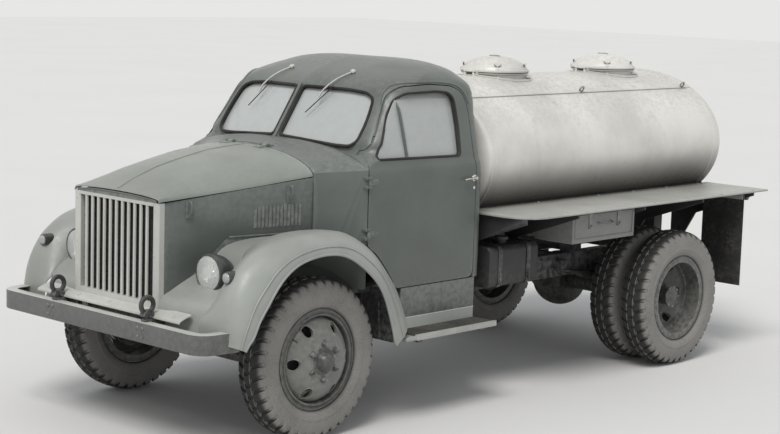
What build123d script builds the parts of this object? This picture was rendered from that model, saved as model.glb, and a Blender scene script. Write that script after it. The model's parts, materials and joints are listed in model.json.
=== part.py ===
from build123d import *
import math
import os

os.makedirs("parts", exist_ok=True)

# Frame: X forward, Y to the left, Z up, wheels standing on z = 0. Millimetres.
# Lengths along X are given ahead of the front axle (negative is behind it).

# Running gear
WHEELBASE = 3300
REAR_AXLE = -WHEELBASE
FRONT_OVERHANG = 888
REAR_OVERHANG = 1062
FRONT_TRACK = 1585
REAR_TRACK = 1650
TWIN_SPACING = 260
TYRE_R = 462
TYRE_W = 205
RIM_FLANGE_R = 285
RIM_SEAT_R = 256
RIM_W = 164
RIM_SKIN = 10
DISC_OFFSET = 130
DISC_THICK = 12
HAND_HOLES = 6
HAND_HOLE_R = 27
HUB_R = 78
DRUM_R = 186
SPINDLE_R = 27
RUNNING_GAP = 0.4
KINGPIN_Y = 690
KINGPIN_R = 15
ARM_LENGTH = 180
ARM_Z = 400
AXLE_TUBE_R = 62
BANJO_R = 196

# Chassis frame
RAIL_OUTER = 435
RAIL_FLANGE = 65
RAIL_TOP = 745
RAIL_DEPTH = 155
RAIL_SKIN = 7
RAIL_REAR = REAR_AXLE - 905
FRONT_MEMBER_X = 640
FRONT_MEMBER_TOP = 721
FRONT_MEMBER_DEPTH = 60
MEMBER_XS = (-1010, -2100, REAR_AXLE + 500, REAR_AXLE - 600, RAIL_REAR)
MEMBER_DEPTH = 70
SPRING_WIDTH = 60

# Bumper
BUMPER_BOTTOM = 600
BUMPER_TOP = 710
BUMPER_SKIN = 6
BUMPER_DEPTH = 65
BUMPER_HALF = 903
BUMPER_END_X = 631
BUMPER_END_HALF = 925
BUMPER_CORNER_R = 112

# Bonnet, grille and wings
NOSE_X = 745
NOSE_HALF = 375
NOSE_CREASE_Z = 1365
GRILLE_BOTTOM = 756
GRILLE_DEPTH = 45
GRILLE_BARS = 11
GRILLE_PITCH = 54
HOOD_REAR_X = -228
HOOD_REAR_HALF = 566
HOOD_REAR_CREASE_Z = 1467
HOOD_REAR_CROWN_Z = 1584
HOOD_THICK = 18
COWL_X = -236
WING_OUTER = 1000
WING_RIDGE_INNER = 690
WING_SKIN = 12
APRON_Y = 445

# Cab
CAB_FRONT = -455
CAB_REAR = -1520
CAB_HALF = 790
CAB_FLOOR_Z = 770
CAB_FLOOR_THICK = 28
CAB_WALL = 45
BELT_Z = 1490
ROOF_Z = 2100
DOOR_GAP = 6
DOOR_REAR = -1400
DOOR_BOTTOM = 776
SILL_BOTTOM = 588
BOARD_TOP = 520
BOARD_THICK = 22
BOARD_OUTER = 985
BOARD_FRONT = -612
BOARD_REAR = -1415

# Milk tank
TANK_HALF = 700
TANK_RISE = 500
TANK_Z = 1450
TANK_FRONT = -1650
TANK_REAR = REAR_AXLE - 902
FRONT_BULGE = 66
REAR_BULGE = 160
HATCH_XS = (TANK_FRONT - 830, TANK_REAR + 502)
HATCH_R = 236
HATCH_SEAT_Z = 1968
HATCH_RISE = 112
SEAT_GAP = 0.3

# Deck shelves beside the tank
SHELF_TOP = 1154
SHELF_THICK = 12
SHELF_OUTER = 1100
SHELF_INNER = 578
SHELF_FRONT = -1545
SHELF_REAR = REAR_AXLE - 962
BRACKET_XS = (SHELF_FRONT - 35, SHELF_FRONT - 555, REAR_AXLE + 485, REAR_AXLE - 200, REAR_AXLE - 840)
SADDLE_XS = (TANK_FRONT - 200, REAR_AXLE + 380, REAR_AXLE - 580)

FRONT_AXLE_X = (FRONT_OVERHANG + WHEELBASE + REAR_OVERHANG) / 2 - FRONT_OVERHANG
RAIL_BOTTOM = RAIL_TOP - RAIL_DEPTH
FRONT_WHEEL_Y = FRONT_TRACK / 2
REAR_WHEEL_Y = REAR_TRACK / 2


def save(name, *shapes):
    """Write one sub-part, built about the front axle, as one STEP file in the vehicle's frame."""
    solids = [Pos(FRONT_AXLE_X, 0, 0) * solid for shape in shapes for solid in shape.solids()]
    whole = solids[0] if len(solids) == 1 else Compound(solids)
    export_step(whole, f"parts/{name}.step")


def block(x0, x1, y0, y1, z0, z1):
    """A box given by its limits."""
    middle = Pos((x0 + x1) / 2, (y0 + y1) / 2, (z0 + z1) / 2)
    return middle * Box(abs(x1 - x0), abs(y1 - y0), abs(z1 - z0))


def side_slab(points, y0, y1):
    """A slab whose outline is drawn from the side, as (x, z) points."""
    face = make_face(Polyline(*[(x, y0, z) for x, z in points], close=True))
    return extrude(face, amount=y1 - y0, dir=(0, 1, 0))


def plan_slab(points, z0, z1):
    """A slab whose outline is drawn from above, as (x, y) points."""
    face = make_face(Polyline(*[(x, y, z0) for x, y in points], close=True))
    return extrude(face, amount=z1 - z0, dir=(0, 0, 1))


def front_slab(points, x0, x1):
    """A slab whose outline is drawn from the front, as (y, z) points."""
    face = make_face(Polyline(*[(x0, y, z) for y, z in points], close=True))
    return extrude(face, amount=x1 - x0, dir=(1, 0, 0))


def rod(start, end, radius):
    """A round bar from one point to another."""
    axis = Vector(*end) - Vector(*start)
    plane = Plane(origin=start, z_dir=axis)
    return plane * Cylinder(radius, axis.length, align=(Align.CENTER, Align.CENTER, Align.MIN))


def other_side(shape):
    return mirror(shape, about=Plane.XZ)


def spun(points, x, z, y_middle=0.0):
    """A ring turned about a cross-wise axis, from (outboard, radius) points."""
    face = make_face(Polyline(*[(x, y_middle + u, z + r) for u, r in points], close=True))
    return revolve(face, Axis((x, 0, z), (0, 1, 0)), 360)


# Chassis frame

def rail_profile(skin, reach):
    top = RAIL_TOP - skin
    bottom = RAIL_BOTTOM + skin
    tip = FRONT_OVERHANG - BUMPER_SKIN + reach
    horn_x = FRONT_OVERHANG - BUMPER_DEPTH - 8
    horn_top = BUMPER_TOP - BUMPER_SKIN - 1
    horn_bottom = BUMPER_BOTTOM + BUMPER_SKIN + 1
    return [
        (tip, horn_bottom + skin),
        (tip, horn_top - skin),
        (horn_x, horn_top - skin),
        (600, top),
        (RAIL_REAR - reach, top),
        (RAIL_REAR - reach, bottom),
        (600, bottom),
        (horn_x, horn_bottom + skin),
    ]


def cross_member(x, z0, z1, depth):
    """A cross member of channel section seated between the rails' webs, open to the rear."""
    half = RAIL_OUTER - RAIL_SKIN - SEAT_GAP
    outer = block(x, x + depth, -half, half, z0, z1)
    hollow = block(x - 1, x + depth - RAIL_SKIN, -half, half, z0 + RAIL_SKIN, z1 - RAIL_SKIN)
    return outer - hollow


def tow_hook():
    ring_x, ring_z, ring_r, bar_r = 836, 800, 42, 9
    y = RAIL_OUTER - RAIL_FLANGE / 2
    ring = Pos(ring_x, y, ring_z) * Rot(90, 0, 0) * Torus(ring_r, bar_r)
    bottom = BUMPER_TOP + SEAT_GAP
    foot = block(760, ring_x + 26, y - 20, y + 20, bottom, bottom + 12)
    heel = block(760, FRONT_OVERHANG - BUMPER_DEPTH - 4, y - 20, y + 20, BUMPER_TOP - 14, bottom + 2)
    post = block(ring_x - 12, ring_x + 12, y - 9, y + 9, bottom, ring_z - ring_r)
    return ring + foot + heel + post


BOARD_ARM_XS = (-760, -1320)


def board_arm(x):
    """An outrigger that carries the running board from the rail."""
    top = BOARD_TOP - BOARD_THICK
    inner = RAIL_OUTER - 40
    arm = block(x - 20, x + 20, inner, BOARD_OUTER - 30, top - 22, top)
    hanger = block(x - 20, x + 20, inner, RAIL_OUTER - RAIL_SKIN, top - 22, RAIL_BOTTOM + 1)
    return arm + hanger


def chassis_frame():
    web = side_slab(rail_profile(0, 0), RAIL_OUTER - RAIL_FLANGE, RAIL_OUTER)
    hollow = side_slab(rail_profile(RAIL_SKIN, 1), RAIL_OUTER - RAIL_FLANGE - 1, RAIL_OUTER - RAIL_SKIN)
    rail = web - hollow
    rail += tow_hook()
    for x in BOARD_ARM_XS:
        rail += board_arm(x)
    for x, z in FRONT_SPRING_ENDS:
        rail += block(x - 35, x + 35, RAIL_OUTER - RAIL_FLANGE, RAIL_OUTER, z + SEAT_GAP, RAIL_BOTTOM + 1)
    for x, z in REAR_SPRING_ENDS:
        rail += block(x - 40, x + 40, RAIL_OUTER - 1, REAR_SPRING_Y + SPRING_WIDTH / 2, z + SEAT_GAP, z + 60)
    top = RAIL_TOP - RAIL_SKIN - SEAT_GAP
    members = [cross_member(x, RAIL_BOTTOM + 50, top, MEMBER_DEPTH) for x in MEMBER_XS]
    front_bottom = RAIL_BOTTOM + 20
    members.append(cross_member(FRONT_MEMBER_X, front_bottom, FRONT_MEMBER_TOP, FRONT_MEMBER_DEPTH))
    return [rail, other_side(rail)] + members


# Leaf springs: columns are half length and the count of leaves is the table's length
FRONT_LEAVES = (560, 450, 330, 210)
REAR_LEAVES = (640, 520, 400, 280, 170)
LEAF_THICK = 13
FRONT_PAD_Z = 432
REAR_PAD_Z = TYRE_R + AXLE_TUBE_R + 2
FRONT_CAMBER = 80
REAR_CAMBER = 62
FRONT_SPRING_Y = RAIL_OUTER - RAIL_FLANGE / 2
REAR_SPRING_Y = RAIL_OUTER + 12 + SPRING_WIDTH / 2


def leaf_stack(x_middle, y, pad_z, camber, leaves):
    """A stack of leaves, longest on top, stepped below and bent up at its ends."""
    reach = leaves[0]

    def bend(x):
        return camber * (x / reach) ** 2

    stack = pad_z + LEAF_THICK * len(leaves)
    under = []
    for layer, half in enumerate(reversed(leaves)):
        base = pad_z + LEAF_THICK * layer
        under.append((half, base + bend(half)))
        under.append((half, base + LEAF_THICK + bend(half)))
    over = [(x, stack + bend(x)) for x in (reach * 0.66, reach * 0.33, 0)]
    half_outline = [(0, pad_z)] + under + over
    points = [(x_middle + x, z) for x, z in half_outline]
    points += [(x_middle - x, z) for x, z in reversed(half_outline[1:-1])]
    return side_slab(points, y - SPRING_WIDTH / 2, y + SPRING_WIDTH / 2)


def spring_ends(x_middle, pad_z, camber, leaves):
    top = pad_z + LEAF_THICK * len(leaves) + camber
    return [(x_middle + side * (leaves[0] - 34), top) for side in (1, -1)]


FRONT_SPRING_ENDS = spring_ends(0, FRONT_PAD_Z, FRONT_CAMBER, FRONT_LEAVES)
REAR_SPRING_ENDS = spring_ends(REAR_AXLE, REAR_PAD_Z, REAR_CAMBER, REAR_LEAVES)

# Bumper

def bumper_plan(inset, z0, z1):
    """The area behind the bumper's face, moved in by an inset."""
    face_x = FRONT_OVERHANG - inset
    corner = BUMPER_HALF - inset
    end = BUMPER_END_HALF - inset
    outline = [(BUMPER_END_X, -end), (face_x, -corner), (face_x, corner), (BUMPER_END_X, end)]
    face = make_face(Polyline(*[(x, y, z0) for x, y in outline], close=True))
    corners = face.vertices().sort_by(Axis.X)[-2:]
    rounded = fillet(corners, BUMPER_CORNER_R - inset)
    return extrude(rounded, amount=z1 - z0, dir=(0, 0, 1))


def front_bumper():
    beam = bumper_plan(0, BUMPER_BOTTOM, BUMPER_TOP) - bumper_plan(BUMPER_DEPTH, BUMPER_BOTTOM, BUMPER_TOP)
    inside_bottom = BUMPER_BOTTOM + BUMPER_SKIN
    inside_top = BUMPER_TOP - BUMPER_SKIN
    return beam - bumper_plan(BUMPER_SKIN, inside_bottom, inside_top)


# Axles, steering and wheels

def front_axle():
    half = [(0, 345), (430, 345), (615, 427), (660, 427), (660, 497), (610, 497), (440, 430), (0, 420)]
    outline = half + [(-y, z) for y, z in reversed(half[1:-1])]
    beam = front_slab(outline, -30, 30)
    eye = Pos(0, KINGPIN_Y, TYRE_R) * Cylinder(34, 70)
    hole = Pos(0, KINGPIN_Y, TYRE_R) * Cylinder(KINGPIN_R + RUNNING_GAP, 80)
    pad = block(-60, 60, FRONT_SPRING_Y - 35, FRONT_SPRING_Y + 35, 415, FRONT_PAD_Z - SEAT_GAP)
    side = eye + pad
    return beam + side + other_side(side) - hole - other_side(hole)


def knuckle():
    """Left stub axle: yoke on the kingpin, spindle, brake plate and steering arm."""
    yoke = block(-34, 34, KINGPIN_Y + 36, KINGPIN_Y + 48, 392, 532)
    for z0, z1 in ((TYRE_R + 41, TYRE_R + 66), (TYRE_R - 66, TYRE_R - 41)):
        yoke += block(-34, 34, KINGPIN_Y, KINGPIN_Y + 40, z0, z1)
        yoke += Pos(0, KINGPIN_Y, (z0 + z1) / 2) * Cylinder(34, z1 - z0)
    yoke += Pos(0, KINGPIN_Y, TYRE_R) * Cylinder(KINGPIN_R, 130)
    plate = rod((0, KINGPIN_Y + 44, TYRE_R), (0, KINGPIN_Y + 52, TYRE_R), DRUM_R - 8)
    spindle = rod((0, KINGPIN_Y + 44, TYRE_R), (0, FRONT_WHEEL_Y + DISC_OFFSET + 10, TYRE_R), SPINDLE_R)
    arm_z0 = ARM_Z - 4
    arm = block(-ARM_LENGTH, 0, KINGPIN_Y - 16, KINGPIN_Y + 16, arm_z0, arm_z0 + 22)
    arm += Pos(-ARM_LENGTH, KINGPIN_Y, arm_z0 + 11) * Cylinder(22, 22)
    pin = Pos(-ARM_LENGTH, KINGPIN_Y, ARM_Z - 24) * Cylinder(8, 60)
    return yoke + plate + spindle + arm + pin


def tie_rod():
    z = ARM_Z - 26
    bar = rod((-ARM_LENGTH, -KINGPIN_Y, z), (-ARM_LENGTH, KINGPIN_Y, z), 13)
    eye = Pos(-ARM_LENGTH, KINGPIN_Y, z) * Cylinder(22, 32)
    hole = Pos(-ARM_LENGTH, KINGPIN_Y, z) * Cylinder(8 + RUNNING_GAP, 80)
    return bar + eye + other_side(eye) - hole - other_side(hole)


def tyre(x, y):
    """Tyre section, as (outboard, radius) points."""
    seat = RIM_SEAT_R + SEAT_GAP
    half = [
        (TYRE_W * 0.30, TYRE_R),
        (TYRE_W * 0.46, TYRE_R - 40),
        (TYRE_W * 0.50, TYRE_R - 110),
        (RIM_W / 2 - 8 - SEAT_GAP, RIM_FLANGE_R + 3),
        (RIM_W / 2 - 8 - SEAT_GAP, seat),
    ]
    return spun(half + [(-u, r) for u, r in reversed(half)], x, TYRE_R, y)


def rim(x, y, mount_side):
    """Rim with its dished disc, whose mounting face lies on the given side."""
    half = RIM_W / 2
    base = RIM_SEAT_R - RIM_SKIN
    barrel = [
        (-half, RIM_FLANGE_R), (-half + 8, RIM_FLANGE_R), (-half + 8, RIM_SEAT_R), (half - 8, RIM_SEAT_R),
        (half - 8, RIM_FLANGE_R), (half, RIM_FLANGE_R), (half, base), (-half, base),
    ]
    face = DISC_OFFSET
    back = DISC_OFFSET - DISC_THICK
    dish = [
        (28, base + 1), (46, base + 1), (62, base - 12), (face - 14, 178), (face, 160), (face, HUB_R - 6),
        (back, HUB_R - 6), (back, 154), (back - 12, 168), (50, base - 24), (34, base - 12),
    ]
    dish = [(mount_side * u, r) for u, r in dish]
    ring = spun(barrel, x, TYRE_R, y) + spun(dish, x, TYRE_R, y)
    for index in range(HAND_HOLES):
        angle = 2 * math.pi * index / HAND_HOLES
        hx = x + 204 * math.cos(angle)
        hz = TYRE_R + 204 * math.sin(angle)
        ring -= rod((hx, y - 160, hz), (hx, y + 160, hz), HAND_HOLE_R)
    return ring


def front_rim():
    y = FRONT_WHEEL_Y
    face = y + DISC_OFFSET
    hub = [
        (KINGPIN_Y + 58, DRUM_R), (KINGPIN_Y + 58, DRUM_R - 8), (KINGPIN_Y + 128, DRUM_R - 8),
        (KINGPIN_Y + 128, SPINDLE_R + RUNNING_GAP), (face + 14, SPINDLE_R + RUNNING_GAP), (face + 14, 0),
        (face + 44, 0), (face + 44, 36), (face + 30, 50), (face + 8, 56), (face + 8, HUB_R),
        (face - 30, HUB_R), (face - 30, 60), (KINGPIN_Y + 136, 60), (KINGPIN_Y + 136, DRUM_R),
    ]
    return rim(0, y, 1) + spun(hub, 0, TYRE_R)


def rear_rims():
    """Twin rims bolted back to back on one hub with its brake drum."""
    y = REAR_WHEEL_Y
    gap = TWIN_SPACING / 2
    cap = y + gap + 20
    hub = [
        (y - 185, DRUM_R), (y - 185, DRUM_R - 8), (y - 90, DRUM_R - 8), (y - 90, SPINDLE_R + RUNNING_GAP),
        (cap, SPINDLE_R + RUNNING_GAP), (cap, 0), (cap + 20, 0), (cap + 20, 52), (cap - 6, 60),
        (y + 30, 60), (y + 12, HUB_R), (y - 60, HUB_R), (y - 72, 95), (y - 72, DRUM_R),
    ]
    inner = rim(REAR_AXLE, y - gap, 1)
    outer = rim(REAR_AXLE, y + gap, -1)
    return inner + outer + spun(hub, REAR_AXLE, TYRE_R)


def rear_axle():
    y = REAR_WHEEL_Y
    ball = Pos(REAR_AXLE, 0, TYRE_R) * Sphere(BANJO_R)
    ball &= block(REAR_AXLE - 300, REAR_AXLE + 300, -125, 125, 0, 900)
    tube = rod((REAR_AXLE, -y + 195, TYRE_R), (REAR_AXLE, y - 195, TYRE_R), AXLE_TUBE_R)
    nose = rod((REAR_AXLE, 0, TYRE_R + 18), (REAR_AXLE + 255, 0, TYRE_R + 36), 70)
    spindle = rod((REAR_AXLE, -y - 130, TYRE_R), (REAR_AXLE, y + 130, TYRE_R), SPINDLE_R)
    plate = rod((REAR_AXLE, y - 203, TYRE_R), (REAR_AXLE, y - 195, TYRE_R), DRUM_R - 8)
    pad_top = REAR_PAD_Z - SEAT_GAP
    pad = block(REAR_AXLE - 60, REAR_AXLE + 60, REAR_SPRING_Y - 35, REAR_SPRING_Y + 35, TYRE_R, pad_top)
    side = plate + pad
    return ball + tube + nose + spindle + side + other_side(side)


SHAFT_FRONT = -866
SHAFT_FRONT_Z = 600


def propeller_shaft():
    tip = (REAR_AXLE + 256, 0, TYRE_R + 36)
    shaft = rod((SHAFT_FRONT, 0, SHAFT_FRONT_Z), tip, 36)
    return shaft


# Power unit

def engine_block():
    body = block(-218, 470, -170, 170, 530, 1230)
    top = CAB_FLOOR_Z - 12
    gearbox_outline = [(-218, 540), (-218, top), (-640, top), (SHAFT_FRONT + 4, 700), (SHAFT_FRONT + 4, 530)]
    unit = body + side_slab(gearbox_outline, -130, 130)
    for side in (1, -1):
        foot = block(330, 400, side * 165, side * (RAIL_OUTER - RAIL_SKIN - SEAT_GAP), 640, 700)
        unit += foot
    return unit


def radiator():
    core = block(600, 670, -300, 300, 760, 1300)
    feet = block(645, 670, -300, -250, FRONT_MEMBER_TOP + SEAT_GAP, 760)
    feet += block(645, 670, 250, 300, FRONT_MEMBER_TOP + SEAT_GAP, 760)
    return core + feet


# Grille and bonnet

def grille():
    top = NOSE_CREASE_Z - 25
    frame = block(NOSE_X - GRILLE_DEPTH, NOSE_X, -NOSE_HALF, NOSE_HALF, GRILLE_BOTTOM, top)
    frame -= block(NOSE_X - 46, NOSE_X + 1, -NOSE_HALF + 52, NOSE_HALF - 52, GRILLE_BOTTOM + 38, top - 16)
    for index in range(GRILLE_BARS):
        y = (index - (GRILLE_BARS - 1) / 2) * GRILLE_PITCH
        frame += block(NOSE_X - 26, NOSE_X - 2, y - 9, y + 9, GRILLE_BOTTOM + 30, top - 10)
    apron = side_slab([(NOSE_X - 20, 756), (NOSE_X - 20, 762), (806, 740), (806, 734)], -640, 640)
    leg_x = FRONT_MEMBER_X + FRONT_MEMBER_DEPTH + SEAT_GAP
    for y in (-320, 320):
        frame += block(leg_x, leg_x + 12, y - 20, y + 20, 650, GRILLE_BOTTOM + 1)
    return frame + apron


def crowned_section(x, half, side_z, crown_z, thick):
    """A crescent across the bonnet: outer arc, inner arc and two short edges."""
    outer = ThreePointArc((x, -half, side_z), (x, 0, crown_z), (x, half, side_z))
    inner = ThreePointArc((x, half, side_z - thick), (x, 0, crown_z - thick), (x, -half, side_z - thick))
    right = Line((x, half, side_z), (x, half, side_z - thick))
    left = Line((x, -half, side_z - thick), (x, -half, side_z))
    return make_face(Wire([outer.edge(), right.edge(), inner.edge(), left.edge()]))


HINGE_R = 11
HINGE_PIN_R = 6
HOOD_HINGE_X = -232
HOOD_HINGE_Z = HOOD_REAR_CROWN_Z + 8


def hood():
    # columns: x, half width, height of the side crease, height of the crown
    stations = [
        (NOSE_X + 4, NOSE_HALF, NOSE_CREASE_Z, NOSE_CREASE_Z + 26),
        (300, 461, 1411, 1524),
        (HOOD_REAR_X, HOOD_REAR_HALF, HOOD_REAR_CREASE_Z, HOOD_REAR_CROWN_Z),
    ]
    panel = loft([crowned_section(*station, HOOD_THICK) for station in stations])
    lip = block(NOSE_X - 12, NOSE_X + 4, -NOSE_HALF, NOSE_HALF, NOSE_CREASE_Z - 19, NOSE_CREASE_Z)
    panel += lip
    for y in (-150, 150):
        lug = block(HOOD_REAR_X - 3, HOOD_REAR_X + 40, y - 18, y + 18, HOOD_HINGE_Z - 20, HOOD_HINGE_Z)
        lug += rod((HOOD_HINGE_X, y - 18, HOOD_HINGE_Z), (HOOD_HINGE_X, y + 18, HOOD_HINGE_Z), HINGE_R)
        lug -= rod((HOOD_HINGE_X, y - 30, HOOD_HINGE_Z), (HOOD_HINGE_X, y + 30, HOOD_HINGE_Z), HINGE_PIN_R + RUNNING_GAP)
        panel += lug
    return panel


def hood_side():
    """Left bonnet side, between the crease and the wing."""
    thick = 14
    front = NOSE_X - GRILLE_DEPTH - SEAT_GAP
    rear = COWL_X + SEAT_GAP
    lower_z = 1126
    front_y = NOSE_HALF
    rear_y = HOOD_REAR_HALF
    top_front = NOSE_CREASE_Z - HOOD_THICK - 6
    top_rear = HOOD_REAR_CREASE_Z - HOOD_THICK - 6
    outline = [
        (front, 760), (front, top_front), (rear, top_rear), (rear, lower_z),
        (320, lower_z), (450, 1000), (580, 880), (656, 760),
    ]
    slab = side_slab(outline, 0, 900)
    plan = [(front, front_y), (rear, rear_y), (rear, rear_y - thick), (front, front_y - thick)]
    return slab & plan_slab(plan, 0, 2000)


# Front wings

def wing_arch(inset):
    """Wheel opening seen from the side, with room added by an inset."""
    points = [(600, 640), (593, 690), (511, 825), (399, 964), (276, 1044), (112, 1077), (-43, 1068),
              (-170, 1016), (-311, 911), (-397, 804), (-462, 651), (-500, 500)]
    middle_x, middle_z = 60, 640
    grown = []
    for x, z in points:
        away = math.hypot(x - middle_x, z - middle_z)
        grown.append((x + (x - middle_x) / away * inset, z + max(z - middle_z, 0) / away * inset))
    return [(grown[0][0], 300)] + grown + [(grown[-1][0], 300)]


# columns: crest (x, z), inner seam (x, z)
WING_OUTLINE = [
    ((712, 718), (712, 718)), ((704, 760), (690, 750)), ((684, 862), (650, 800)), ((640, 958), (590, 858)),
    ((575, 1040), (520, 928)), ((455, 1118), (430, 1010)), ((310, 1160), (350, 1078)), ((130, 1184), (180, 1118)),
    ((-40, 1186), (-10, 1122)), ((-200, 1160), (-160, 1118)), ((-372, 1070), (-372, 1062)),
    ((-500, 940), (-500, 985)), ((-590, 846), (-590, 885)), ((-650, 760), (-650, 760)), ((-690, 592), (-690, 592)),
    ((-590, 500), (-590, 500)), ((-500, 500), (-500, 500)), ((-500, 592), (-500, 592)), ((600, 664), (600, 664)),
    ((622, 718), (622, 718)),
]
WING_CREST_Y = 880
WING_SHRINK = 85
# columns: y, share of the way up from the seam to the crest, share of the shrink towards the lip
WING_SECTIONS = [
    (WING_RIDGE_INNER, 0.0, 0.0), (WING_RIDGE_INNER + 45, 0.36, 0.0), (WING_RIDGE_INNER + 105, 0.74, 0.0),
    (WING_CREST_Y, 1.0, 0.0), (WING_CREST_Y + 75, 1.0, 0.22), (WING_OUTER, 1.0, 1.0),
]


def wing_side(y, rise, shrink):
    """Outline of the ridge at one distance from the middle, between seam, crest and lip."""
    middle_x, middle_z = 60, 600
    inset = WING_SHRINK * shrink
    points = []
    for crest, seam in WING_OUTLINE:
        x = seam[0] + (crest[0] - seam[0]) * rise
        z = seam[1] + (crest[1] - seam[1]) * rise
        away = math.hypot(x - middle_x, z - middle_z)
        down = max(z - 664, 0) / away * inset
        points.append((x - (x - middle_x) / away * inset, y, z - down))
    return make_face(Polyline(*points, close=True))


def wing():
    """Left wing: ridge over the wheel, lower panel beside the bonnet, hollow under both."""
    ridge = loft([wing_side(*section) for section in WING_SECTIONS], ruled=True)
    valley_outline = [
        (650, 664), (650, 790), (590, 852), (520, 920), (430, 1000), (350, 1070), (180, 1118), (-232, 1118),
        (-232, 600), (600, 600),
    ]
    valley = side_slab(valley_outline, APRON_Y, WING_RIDGE_INNER + 1)
    rear_outline = [
        (-180, 1118), (-372, 1074), (-515, 1000), (-585, 925), (-664, 828), (-722, 712), (-752, 592),
        (-560, 592), (-180, 900),
    ]
    rear = side_slab(rear_outline, 600, WING_RIDGE_INNER + 120)
    body = ridge + valley + rear
    body -= side_slab(wing_arch(0), WING_OUTER - 30, WING_OUTER + 10)
    body -= side_slab(wing_arch(0), APRON_Y + WING_SKIN, WING_RIDGE_INNER + 55)
    body -= side_slab(wing_arch(46), WING_RIDGE_INNER + 55, WING_OUTER - 14)
    body -= block(-900, CAB_FRONT + 60, 0, CAB_HALF + 5, 0, 1300)
    body -= cowl_room(0.4, CAB_FLOOR_Z - 4)
    return body - lamps(1) - marker_lamp(1)


# Lamps

def lamps(grow=0.0):
    """Left headlamp on its short foot; grow makes room for it in the wing."""
    lamp_x, lamp_y, lamp_z, lamp_r = 555, 587, 972, 98 + grow
    bowl = [(lamp_x - 150, 40), (lamp_x - 60, lamp_r - 10), (lamp_x, lamp_r), (lamp_x + 8, lamp_r)]
    lens = [(lamp_x + 20, lamp_r * 0.7), (lamp_x + 27, 0), (lamp_x - 150, 0)]
    face = make_face(Polyline(*[(x, lamp_y, lamp_z + r) for x, r in bowl + lens], close=True))
    head = revolve(face, Axis((0, lamp_y, lamp_z), (1, 0, 0)), 360)
    foot = block(500 - grow, 550 + grow, lamp_y - 24 - grow, lamp_y + 24 + grow, 880, lamp_z - 60)
    return head + foot


def marker_lamp(grow=0.0):
    """Small round lamp let into the front of the left wing."""
    y, z = 822, 985
    return rod((560 - grow, y, z), (642, y, z), 32 + grow)


# Cab

UPPER_CAB = 610


def raised(z):
    """A height above the belt, drawn for an upper cab of UPPER_CAB, at the height that the roof gives it."""
    return z if z <= BELT_Z else BELT_Z + (z - BELT_Z) * (ROOF_Z - BELT_Z) / UPPER_CAB


def cab_side_face(inset):
    points = [(x, 0, raised(z)) for x, z in [
        (CAB_REAR, SILL_BOTTOM), (-440, SILL_BOTTOM), (-440, 1640), (-640, 1905), (-770, 2015), (-900, 2075),
        (-1060, 2100), (-1240, 2096), (-1380, 2058), (-1470, 1985), (CAB_REAR, 1880)]]
    face = make_face(Polyline(*points, close=True))
    return offset(face, amount=-inset, kind=Kind.INTERSECTION) if inset else face


def cab_front_face(inset):
    half = [(CAB_HALF, SILL_BOTTOM), (CAB_HALF, 1440), (762, 1535), (708, 1880), (660, 1975), (560, 2040),
            (360, 2084), (120, 2100)]
    outline = half + [(-y, z) for y, z in reversed(half)]
    face = make_face(Polyline(*[(0, y, raised(z)) for y, z in outline], close=True))
    return offset(face, amount=-inset, kind=Kind.INTERSECTION) if inset else face


def cab_plan(inset, front_corner):
    """Seen from above, with rounded rear corners and, above the belt, rounded front ones."""
    x0 = CAB_REAR + inset
    x1 = -440 - inset
    half = CAB_HALF - inset
    face = make_face(Polyline((x0, -half, 0), (x1, -half, 0), (x1, half, 0), (x0, half, 0), close=True))
    rear = face.vertices().sort_by(Axis.X)[:2]
    face = fillet(rear, 120 - inset)
    if front_corner:
        front = face.vertices().sort_by(Axis.X)[-2:]
        face = fillet(front, 130 - inset)
    return extrude(face, amount=2400, dir=(0, 0, 1))


SCREEN_FOOT = 1588


def screen_plane(side, inset):
    """Plane of one half of the windscreen, moved inward by an inset."""
    base = Vector(-451, 0, raised(1620))
    top = Vector(-658, 0, raised(1928))
    outer = Vector(-546, side * 600, raised(1636))
    normal = (top - base).cross(outer - base)
    if normal.X < 0:
        normal = normal * -1
    normal = normal.normalized()
    return Plane(origin=base - normal * inset, z_dir=normal)


def ahead_of_screen(side, inset):
    room = screen_plane(side, inset) * Pos(0, 0, 500) * Box(4000, 4000, 1000)
    return room & block(-1400, 600, 0, side * 1200, raised(SCREEN_FOOT) - inset, 2600)


def cab_body(inset, front_corner, z0, z1):
    body = extrude(cab_side_face(inset), amount=2400, dir=(0, 1, 0), both=True)
    body &= extrude(cab_front_face(inset), amount=3000, dir=(1, 0, 0), both=True)
    body &= cab_plan(inset, front_corner)
    body &= block(-3000, 1000, -2000, 2000, z0, z1)
    for side in (1, -1):
        body -= ahead_of_screen(side, inset)
    return body


def door_outline(grow):
    """Door seen from the side; grow widens it to make the opening."""
    g = grow
    points = [
        (-462 + g, 1046 - g), (-466 + g, 1496), (-540 + g, 1572), (-590 + g * 0.9, 1650 + g * 0.4),
        (-694 + g * 0.8, 1815 + g * 0.6), (-750 + g * 0.7, 1905 + g * 0.7), (-832 + g * 0.3, 1950 + g),
        (-1050, 1960 + g), (-1250, 1946 + g), (-1330 - g * 0.7, 1905 + g * 0.7),
        (-1368 - g, 1800), (DOOR_REAR - g, 1480), (DOOR_REAR - g, DOOR_BOTTOM - g), (-712 + g * 0.5, DOOR_BOTTOM - g),
        (-684 + g * 0.8, 830 - g * 0.6), (-604 + g * 0.7, 930 - g * 0.7), (-530 + g * 0.6, 1008 - g * 0.8),
    ]
    return [(x, raised(z)) for x, z in points]


DOOR_WINDOW = [(-556, 1540), (-614, 1626), (-704, 1796), (-762, 1878), (-836, 1914), (-1102, 1920), (-1205, 1910),
               (-1246, 1878), (-1272, 1713), (-1281, 1528)]
SCREEN_PANE = [(22, 1632), (22, 1922), (366, 1920), (503, 1909), (571, 1880), (592, 1800), (602, 1730), (602, 1636),
               (562, 1606), (456, 1606)]
REAR_WINDOW = [(-330, 1620), (330, 1620), (330, 1850), (-330, 1850)]


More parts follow.
